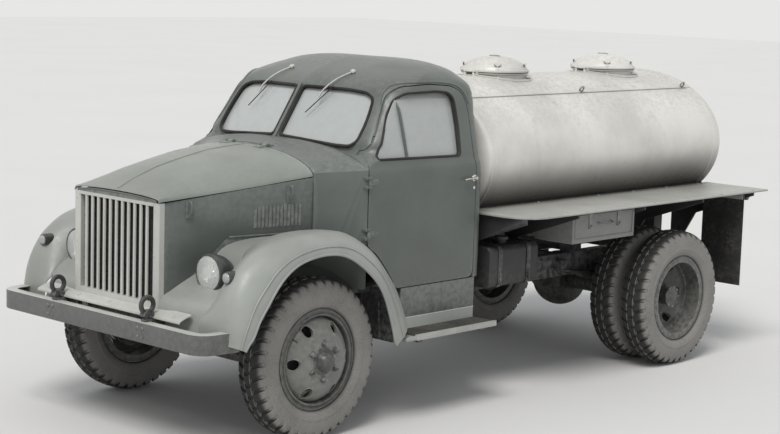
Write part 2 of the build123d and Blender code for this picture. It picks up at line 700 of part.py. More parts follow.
def at_roof(outline):
    """A window outline at the height that the roof gives it."""
    return [(along, raised(z)) for along, z in outline]


def side_wall(outer, inner):
    """The cab's side walls and roof as one sheet, between two insets."""
    sheet = extrude(cab_front_face(outer), amount=3000, dir=(1, 0, 0), both=True)
    return sheet - extrude(cab_front_face(inner), amount=3100, dir=(1, 0, 0), both=True)


def cab_shell():
    upper = cab_body(0, True, BELT_Z, 2300) - cab_body(CAB_WALL, True, BELT_Z - 1, 2300)
    lower = cab_body(0, False, CAB_FLOOR_Z + CAB_FLOOR_THICK, BELT_Z)
    lower -= cab_body(CAB_WALL, False, CAB_FLOOR_Z, BELT_Z + 1)
    lower &= block(-3000, DOOR_REAR, -2000, 2000, 0, 3000)
    upper &= block(-3000, CAB_FRONT - 1, -2000, 2000, 0, 3000)
    return upper, lower


def door_hinges(side_y):
    """Pin holders on the cowl and knuckles on the door, as (fixed, moving)."""
    fixed = None
    moving = None
    for z in (1120, 1420):
        pin = rod((DOOR_HINGE_X, side_y, z - 34), (DOOR_HINGE_X, side_y, z + 34), HINGE_PIN_R)
        for z0, z1 in ((z - 34, z - 18), (z + 18, z + 34)):
            pin += rod((DOOR_HINGE_X, side_y, z0), (DOOR_HINGE_X, side_y, z1), HINGE_R)
            pin += block(DOOR_HINGE_X, CAB_FRONT + 1, side_y - 12, side_y, z0, z1)
            pin += block(CAB_FRONT, CAB_FRONT + 22, side_y - 46, side_y, z0, z1)
        knuckle_ring = rod((DOOR_HINGE_X, side_y, z - 16), (DOOR_HINGE_X, side_y, z + 16), HINGE_R)
        knuckle_ring += block(DOOR_HINGE_X - 4, DOOR_HINGE_X, side_y - 11, side_y, z - 16, z + 16)
        knuckle_ring += block(DOOR_HINGE_X - 30, DOOR_HINGE_X - 3, side_y - 20, side_y, z - 16, z + 16)
        bore = rod((DOOR_HINGE_X, side_y, z - 40), (DOOR_HINGE_X, side_y, z + 40), HINGE_PIN_R + RUNNING_GAP)
        knuckle_ring -= bore
        fixed = pin if fixed is None else fixed + pin
        moving = knuckle_ring if moving is None else moving + knuckle_ring
    return fixed, moving


DOOR_HINGE_X = -459
DOOR_HINGE_Y = CAB_HALF + 13


def door_and_glass():
    window = side_slab(at_roof(DOOR_WINDOW), 400, 1200)
    door = side_wall(0, CAB_WALL) & side_slab(door_outline(0), 400, 1200)
    door -= window
    glass = side_wall(20, 26) & window
    handle = block(-1395, -1270, CAB_HALF + 14, CAB_HALF + 28, 1380, 1398)
    handle += block(-1395, -1375, CAB_HALF - 2, CAB_HALF + 16, 1380, 1398)
    return door + door_hinges(DOOR_HINGE_Y)[1] + handle, glass


def cowl_section(x, half, side_z, crown_z, base_z):
    top = ThreePointArc((x, -half, side_z), (x, 0, crown_z), (x, half, side_z))
    down = Line((x, half, side_z), (x, half, base_z))
    base = Line((x, half, base_z), (x, -half, base_z))
    up = Line((x, -half, base_z), (x, -half, side_z))
    return make_face(Wire([top.edge(), down.edge(), base.edge(), up.edge()]))


def cowl_room(grow, base):
    """Outer form of the cowl, from the bonnet's rear edge out to the cab's full width."""
    front_half = HOOD_REAR_HALF + grow
    return loft([
        cowl_section(COWL_X + grow, front_half, HOOD_REAR_CREASE_Z, HOOD_REAR_CROWN_Z, base),
        cowl_section(CAB_FRONT, CAB_HALF + grow, BELT_Z, 1618, base),
    ], ruled=True)


# columns: distance from the kingpin, height, for the room that the steered tyre sweeps
TYRE_SWEEP = [(0, 500), (428, 500), (428, 772), (362, 862), (255, 950), (0, 950)]


def wheel_pocket(grow):
    """Room about the left kingpin for the steered wheel, with a wall grown round it."""
    points = [(r + grow if r else 0, KINGPIN_Y, z + (grow if z > 500 else 0)) for r, z in TYRE_SWEEP]
    face = make_face(Polyline(*points, close=True))
    pocket = revolve(face, Axis((0, KINGPIN_Y, 0), (0, 0, 1)), 360)
    return pocket & block(-700, -150, 300, 900, 0, 1100)


def cowl():
    base = CAB_FLOOR_Z + CAB_FLOOR_THICK
    outer = cowl_room(0, base)
    inner = loft([
        cowl_section(COWL_X - 16, HOOD_REAR_HALF - 30, HOOD_REAR_CREASE_Z - 30, HOOD_REAR_CROWN_Z - 30, base - 1),
        cowl_section(CAB_FRONT - 1, CAB_HALF - CAB_WALL, BELT_Z - 30, 1588, base - 1),
    ], ruled=True)
    pocket = wheel_pocket(0)
    liner = (wheel_pocket(10) & outer) - pocket
    shell = outer - inner - pocket - other_side(pocket) + liner + other_side(liner)
    back = CAB_FRONT - CAB_WALL - 62
    dash = side_slab([(back, 1420), (back, 1580), (-590, 1572), (-616, 1540), (-606, 1400), (-576, 1400)], -580, 580)
    dash += block(back - 1, CAB_FRONT + 60, -712, 712, 1420, BELT_Z - 12)
    hinges = door_hinges(DOOR_HINGE_Y)[0]
    shell += hinges + other_side(hinges)
    for y in (-150, 150):
        for y0, y1 in ((y - 34, y - 20), (y + 20, y + 34)):
            shell += rod((HOOD_HINGE_X, y0, HOOD_HINGE_Z), (HOOD_HINGE_X, y1, HOOD_HINGE_Z), HINGE_R)
            shell += block(COWL_X - 40, HOOD_HINGE_X, y0, y1, HOOD_HINGE_Z - 24, HOOD_HINGE_Z)
        shell += rod((HOOD_HINGE_X, y - 34, HOOD_HINGE_Z), (HOOD_HINGE_X, y + 34, HOOD_HINGE_Z), HINGE_PIN_R)
    return shell + dash


def cab_floor():
    z0, z1 = CAB_FLOOR_Z, CAB_FLOOR_Z + CAB_FLOOR_THICK
    floor = plan_slab([(COWL_X, -HOOD_REAR_HALF), (COWL_X, HOOD_REAR_HALF), (CAB_FRONT, CAB_HALF - 60),
                       (CAB_REAR + 60, CAB_HALF - 60), (CAB_REAR + 60, 60 - CAB_HALF),
                       (CAB_FRONT, 60 - CAB_HALF)], z0, z1)
    sill = block(-1425, -764, CAB_HALF - 24, CAB_HALF - 6, SILL_BOTTOM, DOOR_BOTTOM - DOOR_GAP)
    sill += block(-1425, -764, CAB_HALF - 80, CAB_HALF - 6, z0 - 22, z0)
    floor += sill + other_side(sill)
    for x in (-500, -1420):
        foot = block(x - 50, x + 50, RAIL_OUTER - RAIL_FLANGE, RAIL_OUTER, RAIL_TOP + SEAT_GAP, z0 + 1)
        floor += foot + other_side(foot)
    floor += block(-1440, -920, -600, 600, z1 - 1, 1000)
    pocket = wheel_pocket(0)
    return floor - pocket - other_side(pocket)


def seat():
    cushion = block(-1360, -880, -620, 620, 1000 + SEAT_GAP, 1160)
    rest = CAB_REAR + CAB_WALL + SEAT_GAP
    back = side_slab([(-1366, 1010), (-1366, 1160), (-1440, 1640), (rest, 1640), (rest, 1010)], -620, 620)
    return cushion, back


def steering_wheel():
    top = (-880, 350, 1400)
    foot = (-294.2, 350, 814.2)
    column = rod(foot, top, 22)
    plane = Plane(origin=top, z_dir=(-1, 0, 1))
    ring = plane * Torus(210, 14)
    spokes = plane * Box(30, 400, 12) + plane * Box(400, 30, 12)
    hub = plane * Cylinder(40, 40)
    return column + ring + spokes + hub


# Behind the cab

def running_board():
    board = block(BOARD_REAR, BOARD_FRONT, CAB_HALF - 4, BOARD_OUTER, BOARD_TOP - BOARD_THICK + SEAT_GAP, BOARD_TOP)
    apron = block(BOARD_REAR, BOARD_FRONT - 170, CAB_HALF - 4, CAB_HALF + 4, BOARD_TOP - 1, SILL_BOTTOM)
    return board + apron


FUEL_TANK_XS = (-2080, -1600)


def fuel_tank():
    body = block(*FUEL_TANK_XS, RAIL_OUTER + SEAT_GAP, CAB_HALF - 30, 670, 930)
    edges = body.edges().filter_by(Axis.X)
    return fillet(edges, 40)


def ellipse_face(x, share, grow=0.0):
    plane = Plane(origin=(x, 0, TANK_Z), x_dir=(0, 1, 0), z_dir=(1, 0, 0))
    return plane * Ellipse(TANK_HALF * share + grow, TANK_RISE * share + grow)


# columns: share of the dome's depth, share of the full section
DOME_RINGS = [(1.0, 0.08), (0.95, 0.42), (0.78, 0.72), (0.45, 0.93), (0.0, 1.0)]


def tank_shell():
    rings = [ellipse_face(TANK_FRONT + FRONT_BULGE * depth, share) for depth, share in DOME_RINGS]
    rings += [ellipse_face(TANK_REAR - REAR_BULGE * depth, share) for depth, share in reversed(DOME_RINGS)]
    body = loft(rings, ruled=True)
    for x in HATCH_XS:
        body += Pos(x, 0, (HATCH_SEAT_Z + 1900) / 2) * Cylinder(HATCH_R - 10, HATCH_SEAT_Z - 1900)
        hinge_x = x + HATCH_R + 22
        for y0, y1 in ((-46, -30), (30, 46)):
            body += rod((hinge_x, y0, HATCH_SEAT_Z + 8), (hinge_x, y1, HATCH_SEAT_Z + 8), HINGE_R)
            body += block(x + HATCH_R - 40, hinge_x + 8, y0, y1, 1930, HATCH_SEAT_Z)
            body += block(hinge_x - 8, hinge_x + 8, y0, y1, 1930, HATCH_SEAT_Z + 8)
        body += rod((hinge_x, -46, HATCH_SEAT_Z + 8), (hinge_x, 46, HATCH_SEAT_Z + 8), HINGE_PIN_R)
    return body


def hatch_lid(x):
    z = HATCH_SEAT_Z + SEAT_GAP
    # columns: radius, height above the seat
    profile = [(0, 0), (HATCH_R, 0), (HATCH_R, 26), (HATCH_R * 0.86, 62), (HATCH_R * 0.55, 96), (0, HATCH_RISE)]
    face = make_face(Polyline(*[(x + r, 0, z + h) for r, h in profile], close=True))
    lid = revolve(face, Axis((x, 0, 0), (0, 0, 1)), 360)
    hinge_x = x + HATCH_R + 22
    axis_z = HATCH_SEAT_Z + 8
    lug = rod((hinge_x, -28, axis_z), (hinge_x, 28, axis_z), HINGE_R)
    lug += block(x + HATCH_R - 6, hinge_x, -28, 28, axis_z, axis_z + HINGE_R)
    lug -= rod((hinge_x, -40, axis_z), (hinge_x, 40, axis_z), HINGE_PIN_R + RUNNING_GAP)
    knob = rod((x - HATCH_R - 14, 0, z + 30), (x - HATCH_R + 10, 0, z + 30), 12)
    return lid + lug + knob


def saddle(x):
    """A bolster between the rails' tops and the tank's belly."""
    base = RAIL_OUTER - 4
    outline = [(-520, 1112), (-base, 945), (-base, RAIL_TOP + SEAT_GAP), (base, RAIL_TOP + SEAT_GAP),
               (base, 945), (520, 1112)]
    body = front_slab(outline, x - 50, x + 50)
    belly = extrude(ellipse_face(x - 60, 1, SEAT_GAP), amount=120, dir=(1, 0, 0))
    window = front_slab([(-330, 790), (330, 790), (280, 900), (-280, 900)], x - 60, x + 60)
    return body - belly - window


def shelf():
    """Left deck shelf with its cantilever brackets standing on the rail."""
    z0 = SHELF_TOP - SHELF_THICK
    outline = [(SHELF_FRONT, SHELF_INNER), (SHELF_FRONT, 900), (SHELF_FRONT - 30, 1010), (SHELF_FRONT - 95, 1075),
               (SHELF_FRONT - 190, SHELF_OUTER), (SHELF_REAR, SHELF_OUTER), (SHELF_REAR, SHELF_INNER)]
    plate = plan_slab(outline, z0, SHELF_TOP)
    tip = SHELF_OUTER - 40
    for x in BRACKET_XS:
        gusset = [(372, RAIL_TOP + SEAT_GAP), (472, RAIL_TOP + SEAT_GAP), (580, 935), (tip, 1112), (tip, z0 + 1),
                  (604, z0 + 1), (372, 1000)]
        plate += front_slab(gusset, x - 8, x + 8)
    return plate


def tool_box():
    top = SHELF_TOP - SHELF_THICK - SEAT_GAP
    return block(REAR_AXLE + 515, REAR_AXLE + 1180, 690, SHELF_OUTER - 100, 935, top)


def mudflap():
    top = SHELF_TOP - SHELF_THICK - SEAT_GAP
    x = REAR_AXLE - 750
    return block(x - 4, x + 4, REAR_WHEEL_Y - 125, SHELF_OUTER - 60, 468, top)


def tail_lamp():
    top = SHELF_TOP - SHELF_THICK - SEAT_GAP
    return block(SHELF_REAR + 2, SHELF_REAR + 52, SHELF_OUTER - 260, SHELF_OUTER - 140, top - 78, top)


def exhaust():
    y = -560
    z = 592
    low = 528
    path = FilletPolyline((-100, -170 - SEAT_GAP, 640), (-100, -250, 640), (-100, -250, low), (-600, -250, low),
                          (-680, -480, low), (-880, y, z), (-2120, y, z), radius=40)
    start = path @ 0
    section = Plane(origin=start, z_dir=path % 0) * Circle(24)
    pipe = sweep(section, path=path)
    muffler = rod((-1580, y, z), (-980, y, z), 70)
    body = pipe + muffler
    for x in (-1050, -1470):
        body += block(x - 18, x + 18, y, -RAIL_OUTER - SEAT_GAP, 600, 608)
    return body


save("chassis_frame", *chassis_frame())
save("front_bumper", front_bumper())
save("front_axle", front_axle())
save("rear_axle", rear_axle(), propeller_shaft())
front_stack = leaf_stack(0, FRONT_SPRING_Y, FRONT_PAD_Z, FRONT_CAMBER, FRONT_LEAVES)
rear_stack = leaf_stack(REAR_AXLE, REAR_SPRING_Y, REAR_PAD_Z, REAR_CAMBER, REAR_LEAVES)
save("leaf_springs", front_stack, other_side(front_stack), rear_stack, other_side(rear_stack))
save("engine_block", engine_block())
save("radiator", radiator())
save("grille", grille())
save("hood", hood())
save("hood_sides", hood_side(), other_side(hood_side()))
save("front_wings", wing(), other_side(wing()))
save("headlamps", lamps(), other_side(lamps()), marker_lamp(), other_side(marker_lamp()))

upper, lower = cab_shell()
door_openings = side_wall(-1, CAB_WALL + DOOR_GAP) & side_slab(door_outline(DOOR_GAP), 400, 1200)
door_openings += other_side(door_openings)
upper -= door_openings
lower -= door_openings
screens = front_slab(at_roof(SCREEN_PANE), -900, -300)
screens += other_side(screens)
upper -= screens
rear_hole = front_slab(at_roof(REAR_WINDOW), CAB_REAR - 50, CAB_REAR + 150)
back_room = block(CAB_REAR - 10, DOOR_REAR - 8, -900, 900, 0, raised(1850))
rear_wall = (upper & back_room) - rear_hole + (lower & back_room)
save("cab_rear_wall", rear_wall)
save("cab_roof", upper - back_room)
save("cab_cowl", cowl())
save("cab_floor", cab_floor())
slab_left = screen_plane(1, 18) * Pos(0, 0, -3) * Box(4000, 4000, 6)
slab_right = screen_plane(-1, 18) * Pos(0, 0, -3) * Box(4000, 4000, 6)
left_pane = slab_left & front_slab(at_roof(SCREEN_PANE), -900, -300)
right_pane = slab_right & other_side(front_slab(at_roof(SCREEN_PANE), -900, -300))
rear_pane = front_slab(at_roof(REAR_WINDOW), CAB_REAR + 20, CAB_REAR + 26)
save("cab_glass", left_pane, right_pane, rear_pane)
door, door_glass = door_and_glass()
save("door_left", door)
save("door_glass_left", door_glass)
save("door_right", other_side(door))
save("door_glass_right", other_side(door_glass))
save("seat", *seat())
save("steering_wheel", steering_wheel())
save("running_boards", running_board(), other_side(running_board()))
save("fuel_tank", fuel_tank())
save("tank_shell", tank_shell())
save("hatch_lid_front", hatch_lid(HATCH_XS[0]))
save("hatch_lid_rear", hatch_lid(HATCH_XS[1]))
save("tank_saddles", *[saddle(x) for x in SADDLE_XS])
save("side_shelves", shelf(), other_side(shelf()))
save("tool_box", tool_box())
save("mudflaps", mudflap(), other_side(mudflap()))
save("tail_lamps", tail_lamp(), other_side(tail_lamp()))
save("exhaust", exhaust())
save("knuckle_left", knuckle())
save("knuckle_right", other_side(knuckle()))
save("tie_rod", tie_rod())
save("front_rim_left", front_rim())
save("front_rim_right", other_side(front_rim()))
save("front_tyre_left", tyre(0, FRONT_WHEEL_Y))
save("front_tyre_right", tyre(0, -FRONT_WHEEL_Y))
save("rear_rims_left", rear_rims())
save("rear_rims_right", other_side(rear_rims()))
for name, side in (("left", 1), ("right", -1)):
    twins = [tyre(REAR_AXLE, side * (REAR_WHEEL_Y + way * TWIN_SPACING / 2)) for way in (-1, 1)]
    save(f"rear_tyres_{name}", *twins)
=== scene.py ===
# %% [markdown]
# # Dressing a light milk tanker
# The lorry arrives as a fixed frame of solids, each at its real size and place. This lesson gives them
# their looks. Machined and folded pieces keep their solids and get eased edges. Pressed sheet metal, rubber
# and lamp glass are modelled again, because their curves are what the eye reads first. The cab's glass
# keeps its solids.

# %% Load the frame
import json
import math

import bmesh
import bpy
from mathutils import Matrix, Vector


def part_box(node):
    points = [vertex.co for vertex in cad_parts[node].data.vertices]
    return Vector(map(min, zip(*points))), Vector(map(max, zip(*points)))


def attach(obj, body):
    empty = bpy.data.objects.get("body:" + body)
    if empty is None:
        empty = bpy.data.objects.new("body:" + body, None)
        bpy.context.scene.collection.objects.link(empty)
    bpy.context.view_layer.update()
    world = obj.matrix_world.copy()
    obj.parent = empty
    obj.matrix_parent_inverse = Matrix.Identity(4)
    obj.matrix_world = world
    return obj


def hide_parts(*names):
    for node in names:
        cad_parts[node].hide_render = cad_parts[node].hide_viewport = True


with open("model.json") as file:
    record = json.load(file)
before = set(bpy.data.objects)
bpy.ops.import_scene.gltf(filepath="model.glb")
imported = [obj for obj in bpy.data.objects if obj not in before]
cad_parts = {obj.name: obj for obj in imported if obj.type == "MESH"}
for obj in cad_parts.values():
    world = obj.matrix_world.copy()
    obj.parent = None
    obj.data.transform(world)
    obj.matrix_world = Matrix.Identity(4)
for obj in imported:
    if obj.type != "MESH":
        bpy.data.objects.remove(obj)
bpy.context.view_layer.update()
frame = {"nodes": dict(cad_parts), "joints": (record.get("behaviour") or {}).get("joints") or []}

tyre_low, tyre_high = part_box("front_tyre_left")
AXLE_X = (tyre_low[0] + tyre_high[0]) / 2
rear_low, rear_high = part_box("rear_tyres_left")
REAR_AXLE = (rear_low[0] + rear_high[0]) / 2 - AXLE_X
print(len(frame["nodes"]), "solid nodes, front axle at x =", round(AXLE_X, 3))

# %% [markdown]
# ## A workbench for meshes
# Every fitting could be an object of its own, but a lorry has hundreds of rivets and nuts. So one small
# class collects shapes into a single mesh. Its points are in metres about the front axle, forward, left and
# up, which is how the lorry's sizes are usually taken, and the mesh moves to its real place when it is
# finished.

# %% Angles, spans and new objects
SIDES = ((1, "left"), (-1, "right"))
EDGE_ANGLE = math.radians(35)


def turns(count, ahead=0):
    """Evenly spaced angles round a circle, set ahead by a share of a step."""
    return [2 * math.pi * (step + ahead) / count for step in range(count)]


def about(middle, half):
    return middle - half, middle + half


def link_new(name, data):
    made = bpy.data.objects.new(name, data)
    bpy.context.scene.collection.objects.link(made)
    return made


# %% A form that collects shapes
class Form:
    """Shapes in metres about the front axle, gathered into one mesh."""

    def __init__(self):
        self.mesh = bmesh.new()

    def grid(self, rows, around=False, ends=False):
        """Quads between rows of points; around closes each row, ends closes the first and last row."""
        made = [[self.mesh.verts.new(point) for point in row] for row in rows]
        count = len(rows[0])
        for near, far in zip(made, made[1:]):
            for i in range(count if around else count - 1):
                j = (i + 1) % count
                self.mesh.faces.new((near[i], near[j], far[j], far[i]))
        if ends:
            self.mesh.faces.new(reversed(made[0]))
            self.mesh.faces.new(made[-1])
        return self

    def lathe(self, profile, centre, axis="Y", steps=48, closed=False):
        """Turn (along, radius) points about an axis through the centre."""
        along_index = "XYZ".index(axis)
        across = [i for i in range(3) if i != along_index]
        rows = []
        for along, radius in list(profile) + ([profile[0]] if closed else []):
            row = []
            for angle in turns(steps):
                point = list(centre)
                point[along_index] += along
                point[across[0]] += radius * math.cos(angle)
                point[across[1]] += radius * math.sin(angle)
                row.append(point)
            rows.append(row)
        return self.grid(rows, around=True)

    def tube(self, points, radius, steps=10, closed=False, flat=1.0):
        """A round bar along a path; flat squashes its section across the path's plane."""
        path = [Vector(p) for p in points]
        count = len(path)
        rows = []
        side = None
        for index, point in enumerate(path):
            before = path[index - 1] if index or closed else point
            after = path[(index + 1) % count] if index < count - 1 or closed else point
            ahead = (after - before).normalized()
            if side is None:
                start = Vector((0, 0, 1)) if abs(ahead.z) < 0.9 else Vector((1, 0, 0))
                side = ahead.cross(start).normalized()
            side = (side - ahead * side.dot(ahead)).normalized()
            up = ahead.cross(side)
            rows.append([point + side * radius * math.cos(a) + up * radius * flat * math.sin(a)
                         for a in turns(steps)])
        if closed:
            rows.append([Vector(p) for p in rows[0]])
        return self.grid(rows, around=True, ends=not closed)

    def slab(self, outline, shift, ease=0.0):
        """A flat outline of (x, y, z) points pushed along a vector into a solid, its edges eased."""
        shift = Vector(shift)
        near = [self.mesh.verts.new(p) for p in outline]
        far = [self.mesh.verts.new(Vector(p) + shift) for p in outline]
        faces = [self.mesh.faces.new(near), self.mesh.faces.new(reversed(far))]
        for i in range(len(outline)):
            j = (i + 1) % len(outline)
            faces.append(self.mesh.faces.new((near[j], near[i], far[i], far[j])))
        if ease:
            edges = {edge for face in faces for edge in face.edges}
            self.ease(edges, ease)
        return self

    def ease(self, edges, width):
        sharp = [e for e in edges if len(e.link_faces) == 2 and e.calc_face_angle(0) > EDGE_ANGLE]
        bmesh.ops.bevel(self.mesh, geom=sharp, offset=width, segments=2, profile=0.6, affect="EDGES",
                        clamp_overlap=True)

    def block(self, x, y, z, ease=0.003):
        """A box from three (low, high) pairs."""
        corners = [(x[0], y[0], z[0]), (x[1], y[0], z[0]), (x[1], y[1], z[0]), (x[0], y[1], z[0])]
        return self.slab(corners, (0, 0, z[1] - z[0]), ease)

    def boss(self, place, facing, radius, levels, steps):
        """A small solid that stands on a surface; levels are (height, share of the radius) pairs."""
        turn = Vector(facing).normalized().to_track_quat("Z", "Y").to_matrix()
        rows = []
        for level, share in levels:
            reach = radius * share
            spots = [Vector((reach * math.cos(a), reach * math.sin(a), level)) for a in turns(steps)]
            rows.append([Vector(place) + turn @ spot for spot in spots])
        return self.grid(rows, around=True, ends=True)

    def nut(self, place, facing, size=0.012, height=0.008):
        """A six-sided nut on a round washer, facing outward."""
        for radius, low, high, steps in ((size * 1.35, -0.002, height * 0.25, 12), (size, 0, height, 6)):
            self.boss(place, facing, radius, ((low, 1.0), (high * 0.75, 1.0), (high, 0.8)), steps)
        return self

    def rivet(self, place, facing, radius=0.007):
        """A low round head."""
        levels = ((-0.002, 1.0), (0.3 * radius, 0.92), (0.55 * radius, 0.6), (0.65 * radius, 0.15))
        return self.boss(place, facing, radius, levels, 8)

    def mirror(self):
        """Make the right-hand twin of a left-hand shape."""
        bmesh.ops.scale(self.mesh, vec=(1, -1, 1), verts=self.mesh.verts[:])
        return self

    def place(self, name):
        """The finished object, moved from the front axle to the lorry's own frame."""
        bmesh.ops.remove_doubles(self.mesh, verts=self.mesh.verts[:], dist=1e-6)
        bmesh.ops.recalc_face_normals(self.mesh, faces=self.mesh.faces[:])
        bmesh.ops.translate(self.mesh, vec=(AXLE_X, 0, 0), verts=self.mesh.verts[:])
        data = bpy.data.meshes.new(name)
        self.mesh.to_mesh(data)
        self.mesh.free()
        return link_new(name, data)


# %% Modifiers, edges and smooth shading
SMOOTH_ANGLE = 38
FLAT_ANGLE = math.radians(2)


def settle(made):
    """Apply every modifier, so that the mesh itself holds the result."""
    bpy.context.view_layer.update()
    shape = made.evaluated_get(bpy.context.evaluated_depsgraph_get())
    data = bpy.data.meshes.new_from_object(shape)
    made.modifiers.clear()
    made.data = data
    return made


def shade(made, degrees=SMOOTH_ANGLE):
    """Smooth shading, with a crease wherever faces meet at more than so many degrees."""
    made.data.polygons.foreach_set("use_smooth", [True] * len(made.data.polygons))
    made.data.set_sharp_from_angle(angle=math.radians(degrees))
    return made


def carve(made, tool, operation="DIFFERENCE"):
    """Cut one mesh with another, keep the result and remove the tool."""
    cut = made.modifiers.new("cut", "BOOLEAN")
    cut.operation = operation
    cut.solver = "MANIFOLD"
    cut.object = tool
    settle(made)
    bpy.data.objects.remove(tool)
    return made


def thicken(made, wall):
    """Give an open skin its sheet thickness, inward."""
    solid = made.modifiers.new("wall", "SOLIDIFY")
    solid.thickness = wall
    solid.offset = -1
    solid.use_even_offset = True
    return settle(made)


def eased(name, node, width):
    """A copy of a solid node with its hard edges rounded a little, as folded or machined metal has them."""
    made = link_new(name, frame["nodes"][node].data.copy())
    made.data.materials.clear()
    work = bmesh.new()
    work.from_mesh(made.data)
    bmesh.ops.remove_doubles(work, verts=work.verts[:], dist=2e-5)
    bmesh.ops.dissolve_limit(work, angle_limit=FLAT_ANGLE, verts=work.verts[:], edges=work.edges[:])
    work.to_mesh(made.data)
    work.free()
    soft = made.modifiers.new("edges", "BEVEL")
    soft.width = width
    soft.segments = 2
    soft.limit_method = "ANGLE"
    soft.angle_limit = EDGE_ANGLE
    soft.harden_normals = False
    return shade(settle(made))


print("workbench ready")

# %% [markdown]
# ## A workbench for finishes
# A paint is a small sum: its colour, less the grime, plus dust where it can settle. Written as Python, that
# sum stays readable, so a light class wraps a socket, and adding or multiplying two of them adds the nodes.
# Any other node comes from one method that sets its settings first and then fills its sockets.

# %% Sockets that can be added and multiplied
class Tone:
    """A socket in a material; arithmetic on tones adds the nodes that work it out."""

    def __init__(self, tree, socket):
        self.tree = tree
        self.socket = socket

    def combine(self, operation, other):
        kind = "ShaderNodeVectorMath" if self.socket.type == "VECTOR" else "ShaderNodeMath"
        return add_node(self.tree, kind, {"operation": operation}, {0: self, 1: other})

    def __add__(self, other):
        return self.combine("ADD", other)

    def __mul__(self, other):
        return self.combine("MULTIPLY", other)


def add_node(tree, kind, settings=None, sockets=None, output=0):
    """Any node: its settings first, then the values or links of its sockets."""
    made = tree.nodes.new(kind)
    for key, value in (settings or {}).items():
        setattr(made, key, value)
    for key, value in (sockets or {}).items():
        target = made.inputs[key]
        if isinstance(value, Tone):
            tree.links.new(value.socket, target)
        else:
            target.default_value = value
    return Tone(tree, made.outputs[output])


# %% A finish with its usual fields
class Finish:
    """One material, with the fields that its makers use: place, up-facing, height, clouds and edges."""

    def __init__(self, name, **constants):
        self.material = bpy.data.materials.new(name)
        self.material.use_nodes = True
        self.tree = self.material.node_tree
        self.tree.nodes.clear()
        self.shader = self.tree.nodes.new("ShaderNodeBsdfPrincipled")
        end = self.tree.nodes.new("ShaderNodeOutputMaterial")
        self.tree.links.new(self.shader.outputs[0], end.inputs[0])
        for key, value in constants.items():
            self.shader.inputs[key.replace("_", " ")].default_value = value
        self.where = self.node("ShaderNodeTexCoord", output=3)

    def node(self, kind, settings=None, sockets=None, output=0):
        return add_node(self.tree, kind, settings, sockets, output)

    def clouds(self, scale, detail=3.0, rough=0.55, where=None):
        sockets = {"Vector": where or self.where, "Scale": scale, "Detail": detail, "Roughness": rough}
        return self.node("ShaderNodeTexNoise", {}, sockets)

    def between(self, value, low, high, to_low=0.0, to_high=1.0):
        """Map low..high of a value to another range, with soft ends and no overshoot."""
        sockets = {"Value": value, "From Min": low, "From Max": high, "To Min": to_low, "To Max": to_high}
        return self.node("ShaderNodeMapRange", {"interpolation_type": "SMOOTHSTEP"}, sockets)

    def blend(self, first, second, share):
        return self.node("ShaderNodeMix", {"data_type": "RGBA"}, {0: share, 6: first, 7: second}, output=2)

    def facing_up(self):
        normal = self.node("ShaderNodeNewGeometry", output=1)
        return self.node("ShaderNodeSeparateXYZ", {}, {0: normal}, output=2)

    def height(self):
        return self.node("ShaderNodeSeparateXYZ", {}, {0: self.where}, output=2)

    def edges(self):
        """Where the surface is a convex edge, which hands and weather wear first."""
        return self.between(self.node("ShaderNodeNewGeometry", output=7), 0.53, 0.62)

    def bump(self, height, depth, strength=1.0, base=None):
        sockets = {"Height": height, "Distance": depth, "Strength": strength}
        if base is not None:
            sockets["Normal"] = base
        return self.node("ShaderNodeBump", {}, sockets)

    def feed(self, **fields):
        for key, value in fields.items():
            self.tree.links.new(value.socket, self.shader.inputs[key.replace("_", " ")])
        return self.material


def colour(red, green, blue):
    return (red, green, blue, 1.0)


def share_of(tint, share):
    return colour(*[share * part for part in tint])


ROAD_DUST = colour(0.36, 0.34, 0.30)
# Near black for grime runs, and also for painted shade on faces that look down.
GRIME_AND_SHADE = colour(0.045, 0.042, 0.038)
print("finish tools ready")

# %% [markdown]
# ## The paints and rubbers
# Oil paint on a working lorry is satin rather than glossy. It is a little uneven, carries dust on whatever
# faces up and near the road, and runs darker in streaks below the tank's seams. The tank's belly, where its
# faces look down, is also darkened as painted shade. Each paint is the same recipe with its own colour and
# its own share of dirt and painted shade, so one function makes them all.

# %% Painted metal
RUN_SQUEEZE = 0.09


def painted(name, tint, dust=0.35, grime=0.35, sheen=0.42, wear=0.25, streaks=0.0, belly_shade=0.0):
    finish = Finish(name, Specular_IOR_Level=0.4, Coat_Weight=0.12, Coat_Roughness=0.35)
    patches = finish.clouds(2.3, 4.0)
    mottling = finish.clouds(34.0, 5.0, 0.6)
    shaded = finish.blend(share_of(tint, 0.86), share_of(tint, 1.1),
                          finish.between(patches, 0.3, 0.7))
    low_dirt = finish.between(finish.height() + patches * 0.5, 1.25, 0.65)
    settled = finish.between(finish.facing_up(), 0.3, 1.0) * 0.45 + low_dirt * 0.55
    broken = finish.between(mottling, 0.32, 0.68)
    dusty = finish.blend(shaded, ROAD_DUST, settled * broken * dust)
    runs = finish.clouds(7.0, 3.0, 0.5, finish.where * (1.0, 1.0, RUN_SQUEEZE))
    dirty_and_shaded = finish.blend(dusty, GRIME_AND_SHADE,
                         finish.between(runs, 0.52, 0.8) * broken * (0.25 * grime + streaks))
    # Faces that look down get painted shade, strongest where they face the floor.
    if belly_shade:
        dirty_and_shaded = finish.blend(dirty_and_shaded, GRIME_AND_SHADE, finish.between(finish.facing_up(), 0.05, -0.68) * belly_shade)
    bare = colour(*[0.5 * part + 0.3 for part in tint])
    rubbed = finish.blend(dirty_and_shaded, bare, finish.edges() * broken * wear)
    rough = finish.between(mottling, 0.3, 0.7, sheen - 0.07, sheen + 0.12)
    peel = finish.bump(finish.clouds(420.0, 2.0), 0.0002, 0.35)
    ripple = finish.bump(patches, 0.004, 0.25, base=peel)
    return finish.feed(Base_Color=rubbed, Roughness=rough, Normal=ripple)


